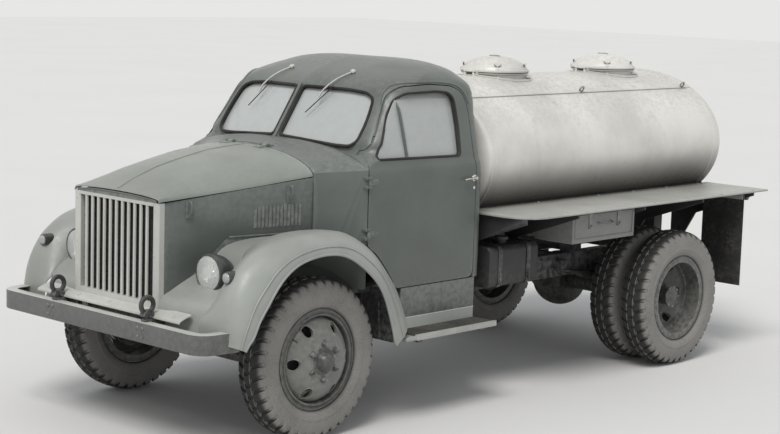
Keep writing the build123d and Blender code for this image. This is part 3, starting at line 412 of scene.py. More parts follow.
CAB_PAINT = painted("cab_paint", (0.118, 0.132, 0.122), dust=0.45, sheen=0.36, wear=0.35)
# The cowl and the bonnet top are lighter copies of the cab paint, as painted light from above.
COWL_PAINT_LIT = painted("cowl_paint_lit", (0.128, 0.142, 0.132), dust=0.4, sheen=0.36)
BONNET_PAINT_LIT = painted("bonnet_paint_lit", (0.225, 0.245, 0.225), dust=0.5, sheen=0.36)
WING_PAINT = painted("wing_paint", (0.30, 0.315, 0.295), dust=0.4, sheen=0.38)
# The tank takes painted shade on its belly.
TANK_PAINT = painted("tank_paint", (0.66, 0.65, 0.61), dust=0.9, grime=0.4, sheen=0.34, wear=0.0,
                     streaks=0.08, belly_shade=0.95)
CHASSIS_BLACK = painted("chassis_black", (0.028, 0.028, 0.030), dust=0.4, grime=0.5, sheen=0.55, wear=0.35)
BUMPER_PAINT = painted("bumper_paint", (0.105, 0.110, 0.104), dust=0.3, sheen=0.4, wear=0.6)
SHELF_PAINT = painted("shelf_paint", (0.37, 0.37, 0.345), dust=0.4, sheen=0.45, wear=0.4)
BOX_PAINT = painted("box_paint", (0.20, 0.205, 0.195), dust=0.4, sheen=0.45, wear=0.4)
GRILLE_LIGHT = painted("grille_light", (0.50, 0.50, 0.47), dust=0.2, sheen=0.35, wear=0.2)
# Near black for the inside of the grille, as painted shade behind the bars.
GRILLE_SHADE = painted("grille_painted_shade", (0.022, 0.023, 0.023), dust=0.15, sheen=0.6, wear=0.0)
WHEEL_PAINT = painted("wheel_paint", (0.165, 0.170, 0.158), dust=0.5, grime=0.8, sheen=0.42, wear=0.5)
CAB_INSIDE = painted("cab_inside", (0.16, 0.165, 0.15), dust=0.1, sheen=0.5, wear=0.1)
ENGINE_IRON = painted("engine_iron", (0.075, 0.078, 0.08), dust=0.2, grime=0.9, sheen=0.5, wear=0.3)
# Lamp bodies are near black: their own dark paint, darkened further as painted shade behind each headlamp.
LAMP_PAINT_AND_SHADE = painted("lamp_paint_and_shade", (0.045, 0.048, 0.046), dust=0.2, sheen=0.3, wear=0.3)
# The rim paint is a darker copy of the wheel paint, as painted shade in the deep rim wells and rear discs.
RIM_PAINT_SHADED = painted("rim_painted_shade", (0.085, 0.088, 0.083), dust=0.4, grime=0.8, sheen=0.4, wear=0.8)
HUB_PAINT = painted("hub_paint", (0.060, 0.062, 0.060), dust=0.25, grime=0.8, sheen=0.35, wear=0.7)


# %% Rubber, leathercloth, bright metal and glass
def rubber(name, tint, dust, grain=160.0):
    finish = Finish(name, Specular_IOR_Level=0.3)
    fine = finish.clouds(grain, 4.0)
    patches = finish.clouds(5.0, 4.0)
    settled = finish.between(fine, 0.3, 0.75) * finish.between(patches, 0.25, 0.75) * dust
    tinted = finish.blend(colour(*tint), ROAD_DUST, settled)
    rough = finish.between(fine, 0.3, 0.7, 0.62, 0.85)
    return finish.feed(Base_Color=tinted, Roughness=rough, Normal=finish.bump(fine, 0.0006, 0.5))


def tyre_rubber():
    """Black tread and a sidewall greyed by dust, which the road wipes off the tread's crown."""
    finish = Finish("tyre_rubber", Specular_IOR_Level=0.3)
    fine = finish.clouds(130.0, 4.0)
    patches = finish.clouds(7.0, 4.0)
    flank = finish.node("ShaderNodeNewGeometry", output=1)
    sideways = finish.node("ShaderNodeSeparateXYZ", {}, {0: flank}, output=1)
    wall = finish.between(finish.node("ShaderNodeMath", {"operation": "ABSOLUTE"}, {0: sideways}), 0.35, 0.9)
    settled = wall * finish.between(fine + patches * 0.6, 0.4, 1.0, 0.55, 1.0)
    tinted = finish.blend(colour(0.035, 0.035, 0.034), colour(0.30, 0.29, 0.27), settled * 0.85)
    rough = finish.between(fine, 0.3, 0.7, 0.65, 0.88)
    return finish.feed(Base_Color=tinted, Roughness=rough, Normal=finish.bump(fine, 0.0008, 0.5))


def leathercloth(name, tint):
    """Grained upholstery: shaded creases between small cells, and lighter patches for wear and painted sheen.
    """
    finish = Finish(name, Specular_IOR_Level=0.45, Sheen_Weight=0.05)
    cells = finish.node("ShaderNodeTexVoronoi", {"feature": "DISTANCE_TO_EDGE"},
                        {"Vector": finish.where, "Scale": 260.0})
    crease = finish.between(cells, 0.0, 0.12)
    patches = finish.clouds(6.0, 4.0)
    shaded = finish.blend(share_of(tint, 0.55), colour(*tint), crease)
    # Lighter patches on top: wear, and a painted sheen where the cloth is worn shiny.
    worn = finish.blend(shaded, share_of(tint, 1.7), finish.between(patches, 0.5, 0.8) * 0.6)
    rough = finish.between(patches, 0.3, 0.7, 0.42, 0.62)
    return finish.feed(Base_Color=worn, Roughness=rough, Normal=finish.bump(crease, 0.0006, 0.6))


def bright_metal(name, tint, rough_low, rough_high, metallic=1.0):
    finish = Finish(name, Metallic=metallic)
    spots = finish.clouds(60.0, 5.0)
    tinted = finish.blend(share_of(tint, 0.7), colour(*tint), finish.between(spots, 0.3, 0.6))
    rough = finish.between(spots, 0.3, 0.7, rough_high, rough_low)
    return finish.feed(Base_Color=tinted, Roughness=rough, Normal=finish.bump(spots, 0.0002, 0.2))


def dusty_glass(name, tint, clear, dust_and_reflection):
    """Window glass by day: partly a view through, partly a pale colour for dust and a painted sky reflection.
    """
    finish = Finish(name, IOR=1.5, Specular_IOR_Level=0.7, Coat_Weight=0.3, Coat_Roughness=0.03)
    film = finish.clouds(9.0, 5.0, 0.6)
    wiped = finish.between(film, 0.35, 0.7)
    tinted = finish.blend(colour(*tint), share_of(tint, 0.92), wiped)
    # The opaque share of the pale colour is dust and a painted reflection of the sky.
    alpha = finish.between(film, 0.3, 0.7, clear, clear + dust_and_reflection)
    rough = finish.between(film, 0.3, 0.7, 0.05, 0.16)
    finish.material.surface_render_method = "BLENDED"
    return finish.feed(Base_Color=tinted, Alpha=alpha, Roughness=rough)


TYRE_RUBBER = tyre_rubber()
BOARD_RUBBER = rubber("board_rubber", (0.045, 0.045, 0.043), 0.5)
FLAP_RUBBER = rubber("flap_rubber", (0.03, 0.03, 0.03), 0.3, 60.0)
SEAL_RUBBER = rubber("seal_rubber", (0.02, 0.02, 0.02), 0.2, 300.0)
WHEEL_PLASTIC = rubber("rim_plastic", (0.015, 0.015, 0.015), 0.05, 400.0)
SEAT_LEATHER = leathercloth("seat_leather", (0.12, 0.085, 0.06))
BRIGHT = bright_metal("bright_metal", (0.72, 0.71, 0.68), 0.18, 0.4)
DULL_STEEL = bright_metal("dull_steel", (0.36, 0.35, 0.33), 0.35, 0.6)
REFLECTOR = bright_metal("reflector", (0.9, 0.9, 0.88), 0.08, 0.18)
WINDOW_GLASS = dusty_glass("window_glass", (0.66, 0.69, 0.68), 0.5, 0.1)
LAMP_GLASS = dusty_glass("lamp_glass", (0.8, 0.82, 0.8), 0.35, 0.15)
RED_GLASS = dusty_glass("red_glass", (0.30, 0.02, 0.02), 0.85, 0.1)
print(len(bpy.data.materials), "finishes")


# %% Hand a piece over
def finish_piece(made, body, material, slot, *nodes):
    """Give a piece its finish, hang it on the body that it rides on and hide the solids that it stands for.
    """
    made.data.materials.clear()
    made.data.materials.append(material)
    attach(made, body)
    if nodes:
        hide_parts(*nodes)
    return made


def hand_over(form, name, body, material, slot, *nodes, degrees=SMOOTH_ANGLE):
    """Place a form, smooth it and finish it as one piece."""
    return finish_piece(shade(form.place(name), degrees), body, material, slot, *nodes)


def fix(form, name, material, slot, *nodes, degrees=SMOOTH_ANGLE):
    """Hand over a piece that is fixed to the chassis."""
    return hand_over(form, name, "chassis", material, slot, *nodes, degrees=degrees)


def second_finish(made, material, chosen):
    """Give the faces that a rule picks another finish."""
    made.data.materials.append(material)
    for face in made.data.polygons:
        if chosen(face):
            face.material_index = 1


def dress_node(node, material):
    """Keep a solid as it is and change only its finish."""
    kept = frame["nodes"][node]
    for slot_place in kept.material_slots:
        slot_place.material = material
    return kept


# %% [markdown]
# ## Curves that several pieces share
# Panels, seals and seams meet along the same lines, so the lines are functions: a smooth curve through a
# few points, a corner softened to a radius, and an easing between two values. Each piece asks for its line
# here.

# %% Lines and easing
def smooth_step(share):
    share = min(max(share, 0.0), 1.0)
    return share * share * (3 - 2 * share)


def mix(first, second, share):
    return first + (second - first) * share


def spline(four, t):
    """A place on the smooth curve between the middle two of four points."""
    a, b, c, d = four
    return 0.5 * (2 * b + (c - a) * t + (2 * a - 5 * b + 4 * c - d) * t * t
                  + (3 * b - a - 3 * c + d) * t ** 3)


def padded(points):
    """The points with one more at each end, so that the curve reaches the given ends."""
    return [2 * points[0] - points[1]] + points + [2 * points[-1] - points[-2]]


def upright(points, y=0.0):
    """(x, z) points stood up at a distance from the middle."""
    return [(x, y, z) for x, z in points]


def through(points, count):
    """Evenly spaced points on a smooth curve through the given ones."""
    vectors = [Vector(p) for p in points]
    ends_added = padded(vectors)
    fine = []
    for index in range(len(vectors) - 1):
        fine += [spline(ends_added[index:index + 4], step / 16) for step in range(16)]
    fine.append(vectors[-1])
    travelled = [0.0]
    for near, far in zip(fine, fine[1:]):
        travelled.append(travelled[-1] + (far - near).length)
    made = []
    place = 0
    for index in range(count):
        wanted = travelled[-1] * index / (count - 1)
        while place < len(fine) - 2 and travelled[place + 1] < wanted:
            place += 1
        span = travelled[place + 1] - travelled[place] or 1.0
        made.append(fine[place].lerp(fine[place + 1], (wanted - travelled[place]) / span))
    return made


def rounded(outline, radius, steps=4):
    """A closed flat outline with each corner turned into a short curve."""
    corners = [Vector(p) for p in outline]
    made = []
    for index, corner in enumerate(corners):
        before = corners[index - 1] - corner
        after = corners[(index + 1) % len(corners)] - corner
        reach = min(radius, before.length * 0.45, after.length * 0.45)
        start = corner + before.normalized() * reach
        end = corner + after.normalized() * reach
        for step in range(steps + 1):
            t = step / steps
            made.append(start * (1 - t) ** 2 + corner * 2 * t * (1 - t) + end * t * t)
    return made


# %% [markdown]
# ## The milk tank
# The tank is an elliptical tube of insulated sheet with two pressed ends. Lofting a few rings would show
# flats, so its skin is a fine grid: an ellipse that shrinks towards each end along a rounded profile. The
# outer jacket is put together from sheets, which leaves a joint along each shoulder and bands where the
# ends are lapped on.

# %% Tank jacket
tank_low, tank_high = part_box("tank_shell")
TANK_HALF = 0.700
TANK_RISE = 0.500
TANK_MIDDLE_Z = 1.450
TANK_FRONT = -1.650
TANK_REAR = -4.202
FRONT_BULGE = 0.066
REAR_BULGE = 0.190
TANK_STEPS = 96
LAP = 0.045
LAP_BAND = ((-0.022, -0.002), (-0.02, 0.004), (0.02, 0.004), (0.022, -0.002))
KNUCKLE = 0.62
DISHING = 1.15
SEAM_ANGLE = math.radians(52)


def tank_ring(x, share, proud=0.0):
    half, rise = TANK_HALF * share + proud, TANK_RISE * share + proud
    return [(x, half * math.cos(a), TANK_MIDDLE_Z + rise * math.sin(a)) for a in turns(TANK_STEPS)]


def tank_end(start, bulge, way):
    """Rings of a pressed end: a tight knuckle at the rim, then a flatter middle."""
    rings = []
    for step in range(14):
        turn = math.pi / 2 * step / 13
        share = math.cos(turn) ** KNUCKLE if step < 13 else 0.0
        rings.append((start + way * bulge * math.sin(turn) ** DISHING, max(share, 0.02)))
    return rings


def tank_jacket():
    tank = Form()
    front = tank_end(TANK_FRONT, FRONT_BULGE, 1)
    rear = tank_end(TANK_REAR, REAR_BULGE, -1)
    count = 24
    middle = [(mix(TANK_FRONT, TANK_REAR, step / count), 1.0) for step in range(1, count)]
    rings = list(reversed(front)) + middle + rear
    tank.grid([tank_ring(x, share) for x, share in rings], around=True, ends=True)
    for x in (TANK_FRONT - LAP, TANK_REAR + LAP):
        tank.grid([tank_ring(x + shift, 1.0, proud) for shift, proud in LAP_BAND], around=True)
    return tank


def tank_seam(side):
    """Lapped joint along the tank's shoulder."""
    angle = SEAM_ANGLE if side > 0 else math.pi - SEAM_ANGLE
    y = (TANK_HALF + 0.001) * math.cos(angle)
    z = TANK_MIDDLE_Z + (TANK_RISE + 0.001) * math.sin(angle)
    return [(TANK_FRONT - 0.02, y, z), (TANK_REAR + 0.02, y, z)]


tank = tank_jacket()
for side in (1, -1):
    tank.tube(tank_seam(side), 0.010, steps=8)
fix(tank, "tank_jacket", TANK_PAINT, "tank_paint", "tank_shell")
print("tank is", round(tank_high[0] - tank_low[0], 3), "m long with its hatches' hinges")

# %% [markdown]
# ## Hatches
# Each compartment has a round manhole: a short neck, a domed lid with a rolled rim and swing bolts with
# wing nuts that clamp it. A lathe gives the lid in one turn, and the bolts repeat round the rim. The hinge
# lugs have to stay on the joint's axis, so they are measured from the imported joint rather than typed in.

# %% Hatch necks and lids
joint_place = {joint["name"]: Vector(joint["pos_m"]) - Vector((AXLE_X, 0, 0)) for joint in frame["joints"]}
HATCH_R = 0.236
HATCH_SEAT_Z = 1.968
HINGE_OFFSET = 0.258
HINGE_Z = 1.976
hatch_centres = {name: joint_place[f"hatch_{name}_hinge"].x - HINGE_OFFSET for name in ("front", "rear")}
CLAMP_ANGLES = [math.radians(angle) for angle in (45, 110, 180, 250, 315)]


def hatch_neck(x):
    neck = Form()
    profile = [(1.86, 0.214), (1.955, 0.214), (1.958, 0.228), (1.967, 0.230), (1.9675, 0.2), (1.86, 0.2)]
    neck.lathe(profile, (x, 0, 0), "Z", 64, closed=True)
    foot = []
    for radius, lift in ((0.262, 0.0015), (0.262, 0.005), (0.216, 0.006), (0.212, -0.006)):
        ring = []
        for angle in turns(64):
            y = radius * math.sin(angle)
            skin = TANK_MIDDLE_Z + TANK_RISE * math.sqrt(1 - (y / TANK_HALF) ** 2)
            ring.append((x + radius * math.cos(angle), y, skin + lift))
        foot.append(ring)
    neck.grid(foot, around=True)
    hinge_x = x + HINGE_OFFSET
    for y in (-0.038, 0.038):
        neck.block((x + HATCH_R - 0.03, hinge_x + 0.009), about(y, 0.008), (1.93, HINGE_Z), 0.002)
        neck.tube([(hinge_x, y - 0.008, HINGE_Z), (hinge_x, y + 0.008, HINGE_Z)], 0.011, steps=16)
    neck.tube([(hinge_x, -0.052, HINGE_Z), (hinge_x, 0.052, HINGE_Z)], 0.006, steps=12)
    for angle in CLAMP_ANGLES:
        pivot = [(x + reach * math.cos(angle), reach * math.sin(angle), 1.940) for reach in (0.232, 0.262)]
        neck.tube(pivot, 0.008, steps=8)
    return neck


def hatch_lid(x):
    z = HATCH_SEAT_Z + 0.0006
    lid = Form()
    outer = [(0.0, 0.2), (0.0, 0.229), (0.004, HATCH_R - 0.001), (0.014, HATCH_R), (0.020, 0.231),
             (0.022, 0.222), (0.030, 0.218), (0.045, 0.207), (0.062, 0.186), (0.078, 0.156), (0.091, 0.118),
             (0.101, 0.07), (0.104, 0.03), (0.105, 0.0)]
    lid.lathe([(z + along, radius) for along, radius in outer] + [(z, 0.0)], (x, 0, 0), "Z", 64)
    lid.tube(through([(x, -0.05, z + 0.095), (x, -0.045, z + 0.108), (x, 0, z + 0.110),
                      (x, 0.045, z + 0.108), (x, 0.05, z + 0.095)], 11), 0.0045, steps=8)
    hinge = (x + HINGE_OFFSET, 0, HINGE_Z)
    lid.tube([(hinge[0], -0.027, hinge[2]), (hinge[0], 0.027, hinge[2])], 0.0105, steps=16)
    lid.block((x + 0.17, hinge[0] - 0.004), (-0.024, 0.024), (hinge[2] + 0.004, hinge[2] + 0.0105), 0.002)
    for angle in CLAMP_ANGLES:
        c, s = math.cos(angle), math.sin(angle)
        foot = Vector((x + 0.214 * c, 0.214 * s, z + 0.016))
        lid.block(about(foot.x, 0.016), about(foot.y, 0.016), (foot.z, foot.z + 0.01), 0.003)
        lid.tube([foot, foot + Vector((0, 0, 0.042))], 0.005, steps=8)
        wing_nut = [(-0.024, 0.046), (-0.012, 0.036), (0.0, 0.030), (0.012, 0.036), (0.024, 0.046)]
        wings = [foot + Vector((reach * s, -reach * c, up)) for reach, up in wing_nut]
        lid.tube(through(wings, 9), 0.0055, steps=8)
    return lid


for name, x in hatch_centres.items():
    fix(hatch_neck(x), f"hatch_neck_{name}", TANK_PAINT, "tank_paint")
    hand_over(hatch_lid(x), f"hatch_lid_{name}_dome", f"hatch_{name}", TANK_PAINT, "tank_paint",
              f"hatch_lid_{name}")
print("hatches at", {name: round(x, 3) for name, x in hatch_centres.items()})

# %% [markdown]
# ## Tyres
# A tyre is its own profile turned about the axle, with a block tread pressed into the crown. Cutting the
# grooves with booleans would cost hundreds of cuts. Instead the grid's own lines follow the grooves:
# columns sit at the groove walls, and each row is turned a little further than the last, so the blocks lean
# as the real ones do.

# %% Tyre with a block tread
WHEEL_Z = 0.462
LUGS = 40
SHOULDER_TURN = 0.36
LUG_PHASES = ((0.0, 1.0), (0.24, 1.0), (0.31, 0.0), (0.93, 0.0))
# columns: outboard place, radius, depth of the groove, turn of the row in lugs
TREAD = [
    (0.000, 0.4615, 0.008, 0.50), (0.010, 0.4615, 0.008, 0.56), (0.0195, 0.4610, 0.008, 0.62),
    (0.0215, 0.4530, 0.000, 0.40), (0.0275, 0.4530, 0.000, 0.20), (0.0295, 0.4605, 0.010, 0.00),
    (0.045, 0.4590, 0.011, 0.10), (0.060, 0.4560, 0.012, 0.20), (0.074, 0.4500, 0.013, 0.28),
    (0.083, 0.4430, 0.013, 0.32), (0.091, 0.4310, 0.011, 0.35), (0.0955, 0.4180, 0.009, 0.36),
    (0.0975, 0.4090, 0.000, 0.36),
]
WALL = [
    (0.0995, 0.398), (0.1015, 0.380), (0.1022, 0.362), (0.1012, 0.346), (0.1026, 0.343), (0.1018, 0.338),
    (0.0985, 0.322), (0.0935, 0.308), (0.0860, 0.297), (0.0790, 0.292), (0.0735, 0.290), (0.0725, 0.275),
    (0.0725, 0.2565),
]


def tyre(centre_x, centre_y):
    body = Form()
    half = TREAD + [(u, r, 0.0, SHOULDER_TURN) for u, r in WALL]
    section = [(-u, r, depth, turn) for u, r, depth, turn in reversed(half[1:])] + half
    rows = []
    for u, radius, depth, turn in section:
        row = []
        for lug in range(LUGS):
            for phase, groove in LUG_PHASES:
                angle = 2 * math.pi * (lug + phase + turn) / LUGS
                reach = radius - depth * groove
                row.append((centre_x + reach * math.cos(angle), centre_y + u,
                            WHEEL_Z + reach * math.sin(angle)))
        rows.append(row)
    return body.grid(rows + [rows[0]], around=True)


TRACKS = {}
for where in ("front", "rear"):
    for side in ("left", "right"):
        node = f"front_tyre_{side}" if where == "front" else f"rear_tyres_{side}"
        low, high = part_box(node)
        TRACKS[where, side] = (low[1] + high[1]) / 2
TWIN_HALF = 0.130

for side in ("left", "right"):
    hand_over(tyre(0, TRACKS["front", side]), f"tyre_front_{side}_tread", f"wheel_front_{side}",
              TYRE_RUBBER, "tyre", f"front_tyre_{side}", degrees=30)
    for way, label in ((-1, "a"), (1, "b")):
        twin = tyre(REAR_AXLE, TRACKS["rear", side] + way * TWIN_HALF)
        rolling = hand_over(twin, f"tyre_rear_{side}_{label}", f"wheel_rear_{side}",
                            TYRE_RUBBER, "tyre", f"rear_tyres_{side}", degrees=30)
print("tyre has", len(rolling.data.polygons), "faces")

# %% [markdown]
# ## The cab skin
# A pressed steel cab has no flat corner anywhere: its walls lean in above the belt line, and the roof rolls
# over on every side. Building it from bent plates would leave creases, so the whole cab is one stack of
# rounded rings, from the floor to the crown. The raked windscreen is a soft cut through that stack. Doors,
# roof and rear wall are then sawn out of the same skin, as they are on the real press line, and so they
# always meet flush.

# %% Cab rings
CAB_FRONT = -0.455
CAB_REAR = -1.520
FLOOR_Z = 0.772
BELT_Z = 1.490
SPRING_Z = 1.780
CAB_WALL = 0.040
SCREEN_BASE = Vector((-0.451, 0.0, 1.620))
SCREEN_LEAN = 0.672
SCREEN_SWEEP = 0.140
# columns: height, half width, front corner radius, rear corner radius
CAB_LEVELS = [
    (FLOOR_Z, 0.786, 0.004, 0.120), (0.840, 0.790, 0.004, 0.120), (1.300, 0.791, 0.004, 0.120),
    (1.440, 0.790, 0.004, 0.122), (1.478, 0.786, 0.010, 0.124), (1.500, 0.776, 0.030, 0.126),
    (1.520, 0.769, 0.060, 0.128), (1.545, 0.765, 0.090, 0.130), (1.620, 0.756, 0.130, 0.135),
    (1.700, 0.746, 0.140, 0.145), (SPRING_Z, 0.735, 0.150, 0.160),
]
RING_STRAIGHT = 26
RING_CORNER = 12
DOME_STEPS = 26


def level_at(z):
    for (z0, *low), (z1, *high) in zip(CAB_LEVELS, CAB_LEVELS[1:]):
        if z <= z1:
            share = (z - z0) / (z1 - z0)
            return [mix(a, b, share) for a, b in zip(low, high)]
    return CAB_LEVELS[-1][1:]


def screen_x(y, z):
    return SCREEN_BASE.x - SCREEN_LEAN * (z - SCREEN_BASE.z) - SCREEN_SWEEP * abs(y)


def cab_ring(front, rear, half, front_radius, rear_radius, z):
    """A rounded rectangle seen from above, swept back at the front where the windscreen is."""
    side = []
    front_radius = min(front_radius, half * 0.98, (front - rear) * 0.49)
    rear_radius = min(rear_radius, half * 0.98, (front - rear) * 0.49)
    for step in range(RING_STRAIGHT + 1):
        side.append((front, (half - front_radius) * step / RING_STRAIGHT))
    for step in range(1, RING_CORNER + 1):
        turn = math.pi / 2 * step / RING_CORNER
        side.append((front - front_radius * (1 - math.cos(turn)), half - front_radius * (1 - math.sin(turn))))
    for step in range(1, RING_STRAIGHT + 1):
        side.append((mix(front - front_radius, rear + rear_radius, step / RING_STRAIGHT), half))
    for step in range(1, RING_CORNER + 1):
        turn = math.pi / 2 * step / RING_CORNER
        side.append((rear + rear_radius * (1 - math.sin(turn)), half - rear_radius * (1 - math.cos(turn))))
    for step in range(1, RING_STRAIGHT + 1):
        side.append((rear, (half - rear_radius) * (1 - step / RING_STRAIGHT)))
    whole = side + [(x, -y) for x, y in reversed(side[1:-1])]
    swept = SCREEN_SWEEP * smooth_step((z - 1.50) / 0.09)
    return [(x - swept * abs(y) * smooth_step((x - front + 0.40) / 0.40), y, z) for x, y in whole]


# columns: height, front, rear, half width
ROOF_LINES = [
    (1.780, -0.559, -1.520, 0.735), (1.840, -0.599, -1.520, 0.728), (1.900, -0.640, -1.518, 0.715),
    (1.940, -0.672, -1.512, 0.701), (1.970, -0.708, -1.503, 0.685), (2.000, -0.762, -1.488, 0.662),
    (2.030, -0.834, -1.462, 0.624), (2.055, -0.908, -1.424, 0.569), (2.075, -0.980, -1.372, 0.487),
    (2.090, -1.050, -1.290, 0.355), (2.096, -1.100, -1.215, 0.215),
]
SIDE_LINES = through([(z, half, 0) for z, _, _, half in ROOF_LINES] + [(2.099, 0.02, 0)], 80)
FRONT_LINES = through([(z, front, 0) for z, front, _, _ in ROOF_LINES] + [(2.099, -1.140, 0)], 80)
REAR_LINES = through([(z, rear, 0) for z, _, rear, _ in ROOF_LINES] + [(2.099, -1.155, 0)], 80)


def along_line(line, z):
    for low, high in zip(line, line[1:]):
        if z <= high.x:
            return mix(low.y, high.y, (z - low.x) / max(high.x - low.x, 1e-9))
    return line[-1].y


def ring_at(z):
    if z > SPRING_Z:
        front, rear, half = (along_line(line, z) for line in (FRONT_LINES, REAR_LINES, SIDE_LINES))
        corner = mix(0.150, 0.300, smooth_step((z - 1.935) / 0.13))
        return cab_ring(front, rear, half, corner, min(corner + 0.010, 0.230), z)
    half, front_radius, rear_radius = level_at(z)
    front = min(CAB_FRONT, screen_x(0, z)) if z > 1.55 else CAB_FRONT
    return cab_ring(front, CAB_REAR, half, front_radius, rear_radius, z)


def cab_skin():
    skin = Form()
    levels = [FLOOR_Z, 0.82, 0.9, 1.1, 1.3, 1.4, 1.44, 1.46, 1.478, 1.489, 1.5, 1.51, 1.52, 1.545]
    levels += [mix(1.565, SPRING_Z, step / 10) for step in range(11)]
    levels += [mix(SPRING_Z, 2.0985, math.sin(math.pi / 2 * step / DOME_STEPS))
               for step in range(1, DOME_STEPS + 1)]
    rows = [ring_at(z) for z in levels]
    rows.append([(-1.148, 0.0, 2.099)] * len(rows[0]))
    return skin.grid(rows, around=True)


def side_skin(x, z):
    """How far out the cab's side stands at a place."""
    ring = [point for point in ring_at(z) if point[1] >= 0]
    for near, far in zip(ring, ring[1:]):
        if near[0] >= x >= far[0] and near[0] > far[0] and near[1] > 0.3:
            return mix(near[1], far[1], (near[0] - x) / (near[0] - far[0]))
    return level_at(min(z, SPRING_Z))[0]


cab_whole = thicken(cab_skin().place("cab_whole"), CAB_WALL)
print("cab skin has", len(cab_whole.data.polygons), "faces")

# %% [markdown]
# ## Sawing out the doors and windows
# The openings are prisms with rounded corners, pushed through the skin. A boolean cut is the right tool
# here: the cut edge is as thick as the door, and the same outline, a little larger, makes the gap all round
# it.

# %% Outlines of the openings
DOOR_GAP = 0.006
DOOR_REAR = -1.400
DOOR_BOTTOM = 0.776


def door_outline(grow):
    points = [(-0.462 + grow, 1.046 - grow), (-0.466 + grow, 1.496), (-0.540 + grow, 1.572),
              (-0.590 + grow * 0.9, 1.650 + grow * 0.4), (-0.694 + grow * 0.8, 1.815 + grow * 0.6),
              (-0.750 + grow * 0.7, 1.905 + grow * 0.7), (-0.832 + grow * 0.3, 1.950 + grow),
              (-1.050, 1.960 + grow), (-1.250, 1.946 + grow), (-1.330 - grow * 0.7, 1.905 + grow * 0.7),
              (-1.368 - grow, 1.800), (DOOR_REAR - grow, 1.480), (DOOR_REAR - grow, DOOR_BOTTOM - grow),
              (-0.712 + grow * 0.5, DOOR_BOTTOM - grow), (-0.684 + grow * 0.8, 0.830 - grow * 0.6),
              (-0.604 + grow * 0.7, 0.930 - grow * 0.7), (-0.530 + grow * 0.6, 1.008 - grow * 0.8)]
    return rounded(upright(points), 0.05, 4)


DOOR_WINDOW = [(-0.556, 1.540), (-0.614, 1.626), (-0.704, 1.796), (-0.762, 1.878), (-0.836, 1.914),
               (-1.102, 1.920), (-1.205, 1.910), (-1.246, 1.878), (-1.272, 1.713), (-1.281, 1.528)]
SCREEN_PANE = [(0.022, 1.632), (0.022, 1.922), (0.366, 1.920), (0.503, 1.909), (0.571, 1.880), (0.592, 1.800),
               (0.602, 1.730), (0.602, 1.636), (0.562, 1.606), (0.456, 1.606)]
REAR_PANE = [(-0.330, 1.620), (0.330, 1.620), (0.330, 1.850), (-0.330, 1.850)]


def window_outline():
    return rounded(upright(DOOR_WINDOW), 0.03, 4)


def screen_outline(side):
    return rounded([(0, side * y, z) for y, z in SCREEN_PANE], 0.03, 4)


def rear_outline():
    return rounded([(0, y, z) for y, z in REAR_PANE], 0.06, 5)


def prism(outline, shift, start):
    tool = Form()
    tool.slab([Vector(p) + Vector(start) for p in outline], shift)
    return tool.place("tool")


def copied(made, name):
    """A second object with a mesh of its own."""
    return link_new(name, made.data.copy())


# %% Doors, roof and rear wall
DOOR_INNER = 0.611


def side_prism(outline, side):
    return prism(outline, (0, side * 0.6, 0), (0, side * DOOR_INNER, 0))


for side in (1, -1):
    carve(cab_whole, prism(screen_outline(side), (0.7, 0, 0), (-0.95, 0, 0)))
door_pieces = {}
for side, label in SIDES:
    panel = copied(cab_whole, f"door_{label}_panel")
    carve(panel, side_prism(door_outline(0.0), side), "INTERSECT")
    carve(panel, prism(window_outline(), (0, side * 0.8, 0), (0, side * 0.4, 0)))
    door_pieces[label] = panel

for side in (1, -1):
    carve(cab_whole, side_prism(door_outline(DOOR_GAP), side))
carve(cab_whole, prism(rear_outline(), (0.3, 0, 0), (-1.7, 0, 0)))
front_block = Form().block((CAB_FRONT - 1.5, CAB_FRONT + 0.2), (-0.9, 0.9), (0.3, BELT_Z), ease=0)
rear_block = Form().block((CAB_REAR - 0.2, DOOR_REAR - DOOR_GAP - 0.0005), (-0.9, 0.9), (0.3, 2.2), ease=0)
rear_wall = copied(cab_whole, "cab_rear_panel")
carve(rear_wall, rear_block.place("tool"), "INTERSECT")
rear_cut = Form().block((CAB_REAR - 0.2, DOOR_REAR - DOOR_GAP), (-0.9, 0.9), (0.3, 2.2), ease=0)
carve(cab_whole, rear_cut.place("tool"))
carve(cab_whole, front_block.place("tool"))
cab_whole.name = "cab_roof_panel"
for made in (cab_whole, rear_wall, *door_pieces.values()):
    shade(made, 40)
print("doors have", [len(made.data.polygons) for made in door_pieces.values()], "faces")

# %% Hand over the cab panels
finish_piece(cab_whole, "chassis", CAB_PAINT, "cab_paint", "cab_roof")
finish_piece(rear_wall, "chassis", CAB_PAINT, "cab_paint", "cab_rear_wall")
for label, panel in door_pieces.items():
    finish_piece(panel, f"door_{label}", CAB_PAINT, "cab_paint", f"door_{label}")

# %% [markdown]
# ## What makes a door a door
# A bare panel reads as a model. The eye looks for the rubber round the glass, the post of the vent pane,
# the pull handle, the hinge knuckles and the card inside. Each follows the skin, so its points take their
# distance from the middle from the same function that shaped the cab.

# %% Door fittings
def on_side(outline, side, proud=0.0):
    return [(x, side * (side_skin(x, z) + proud), z) for x, _, z in outline]


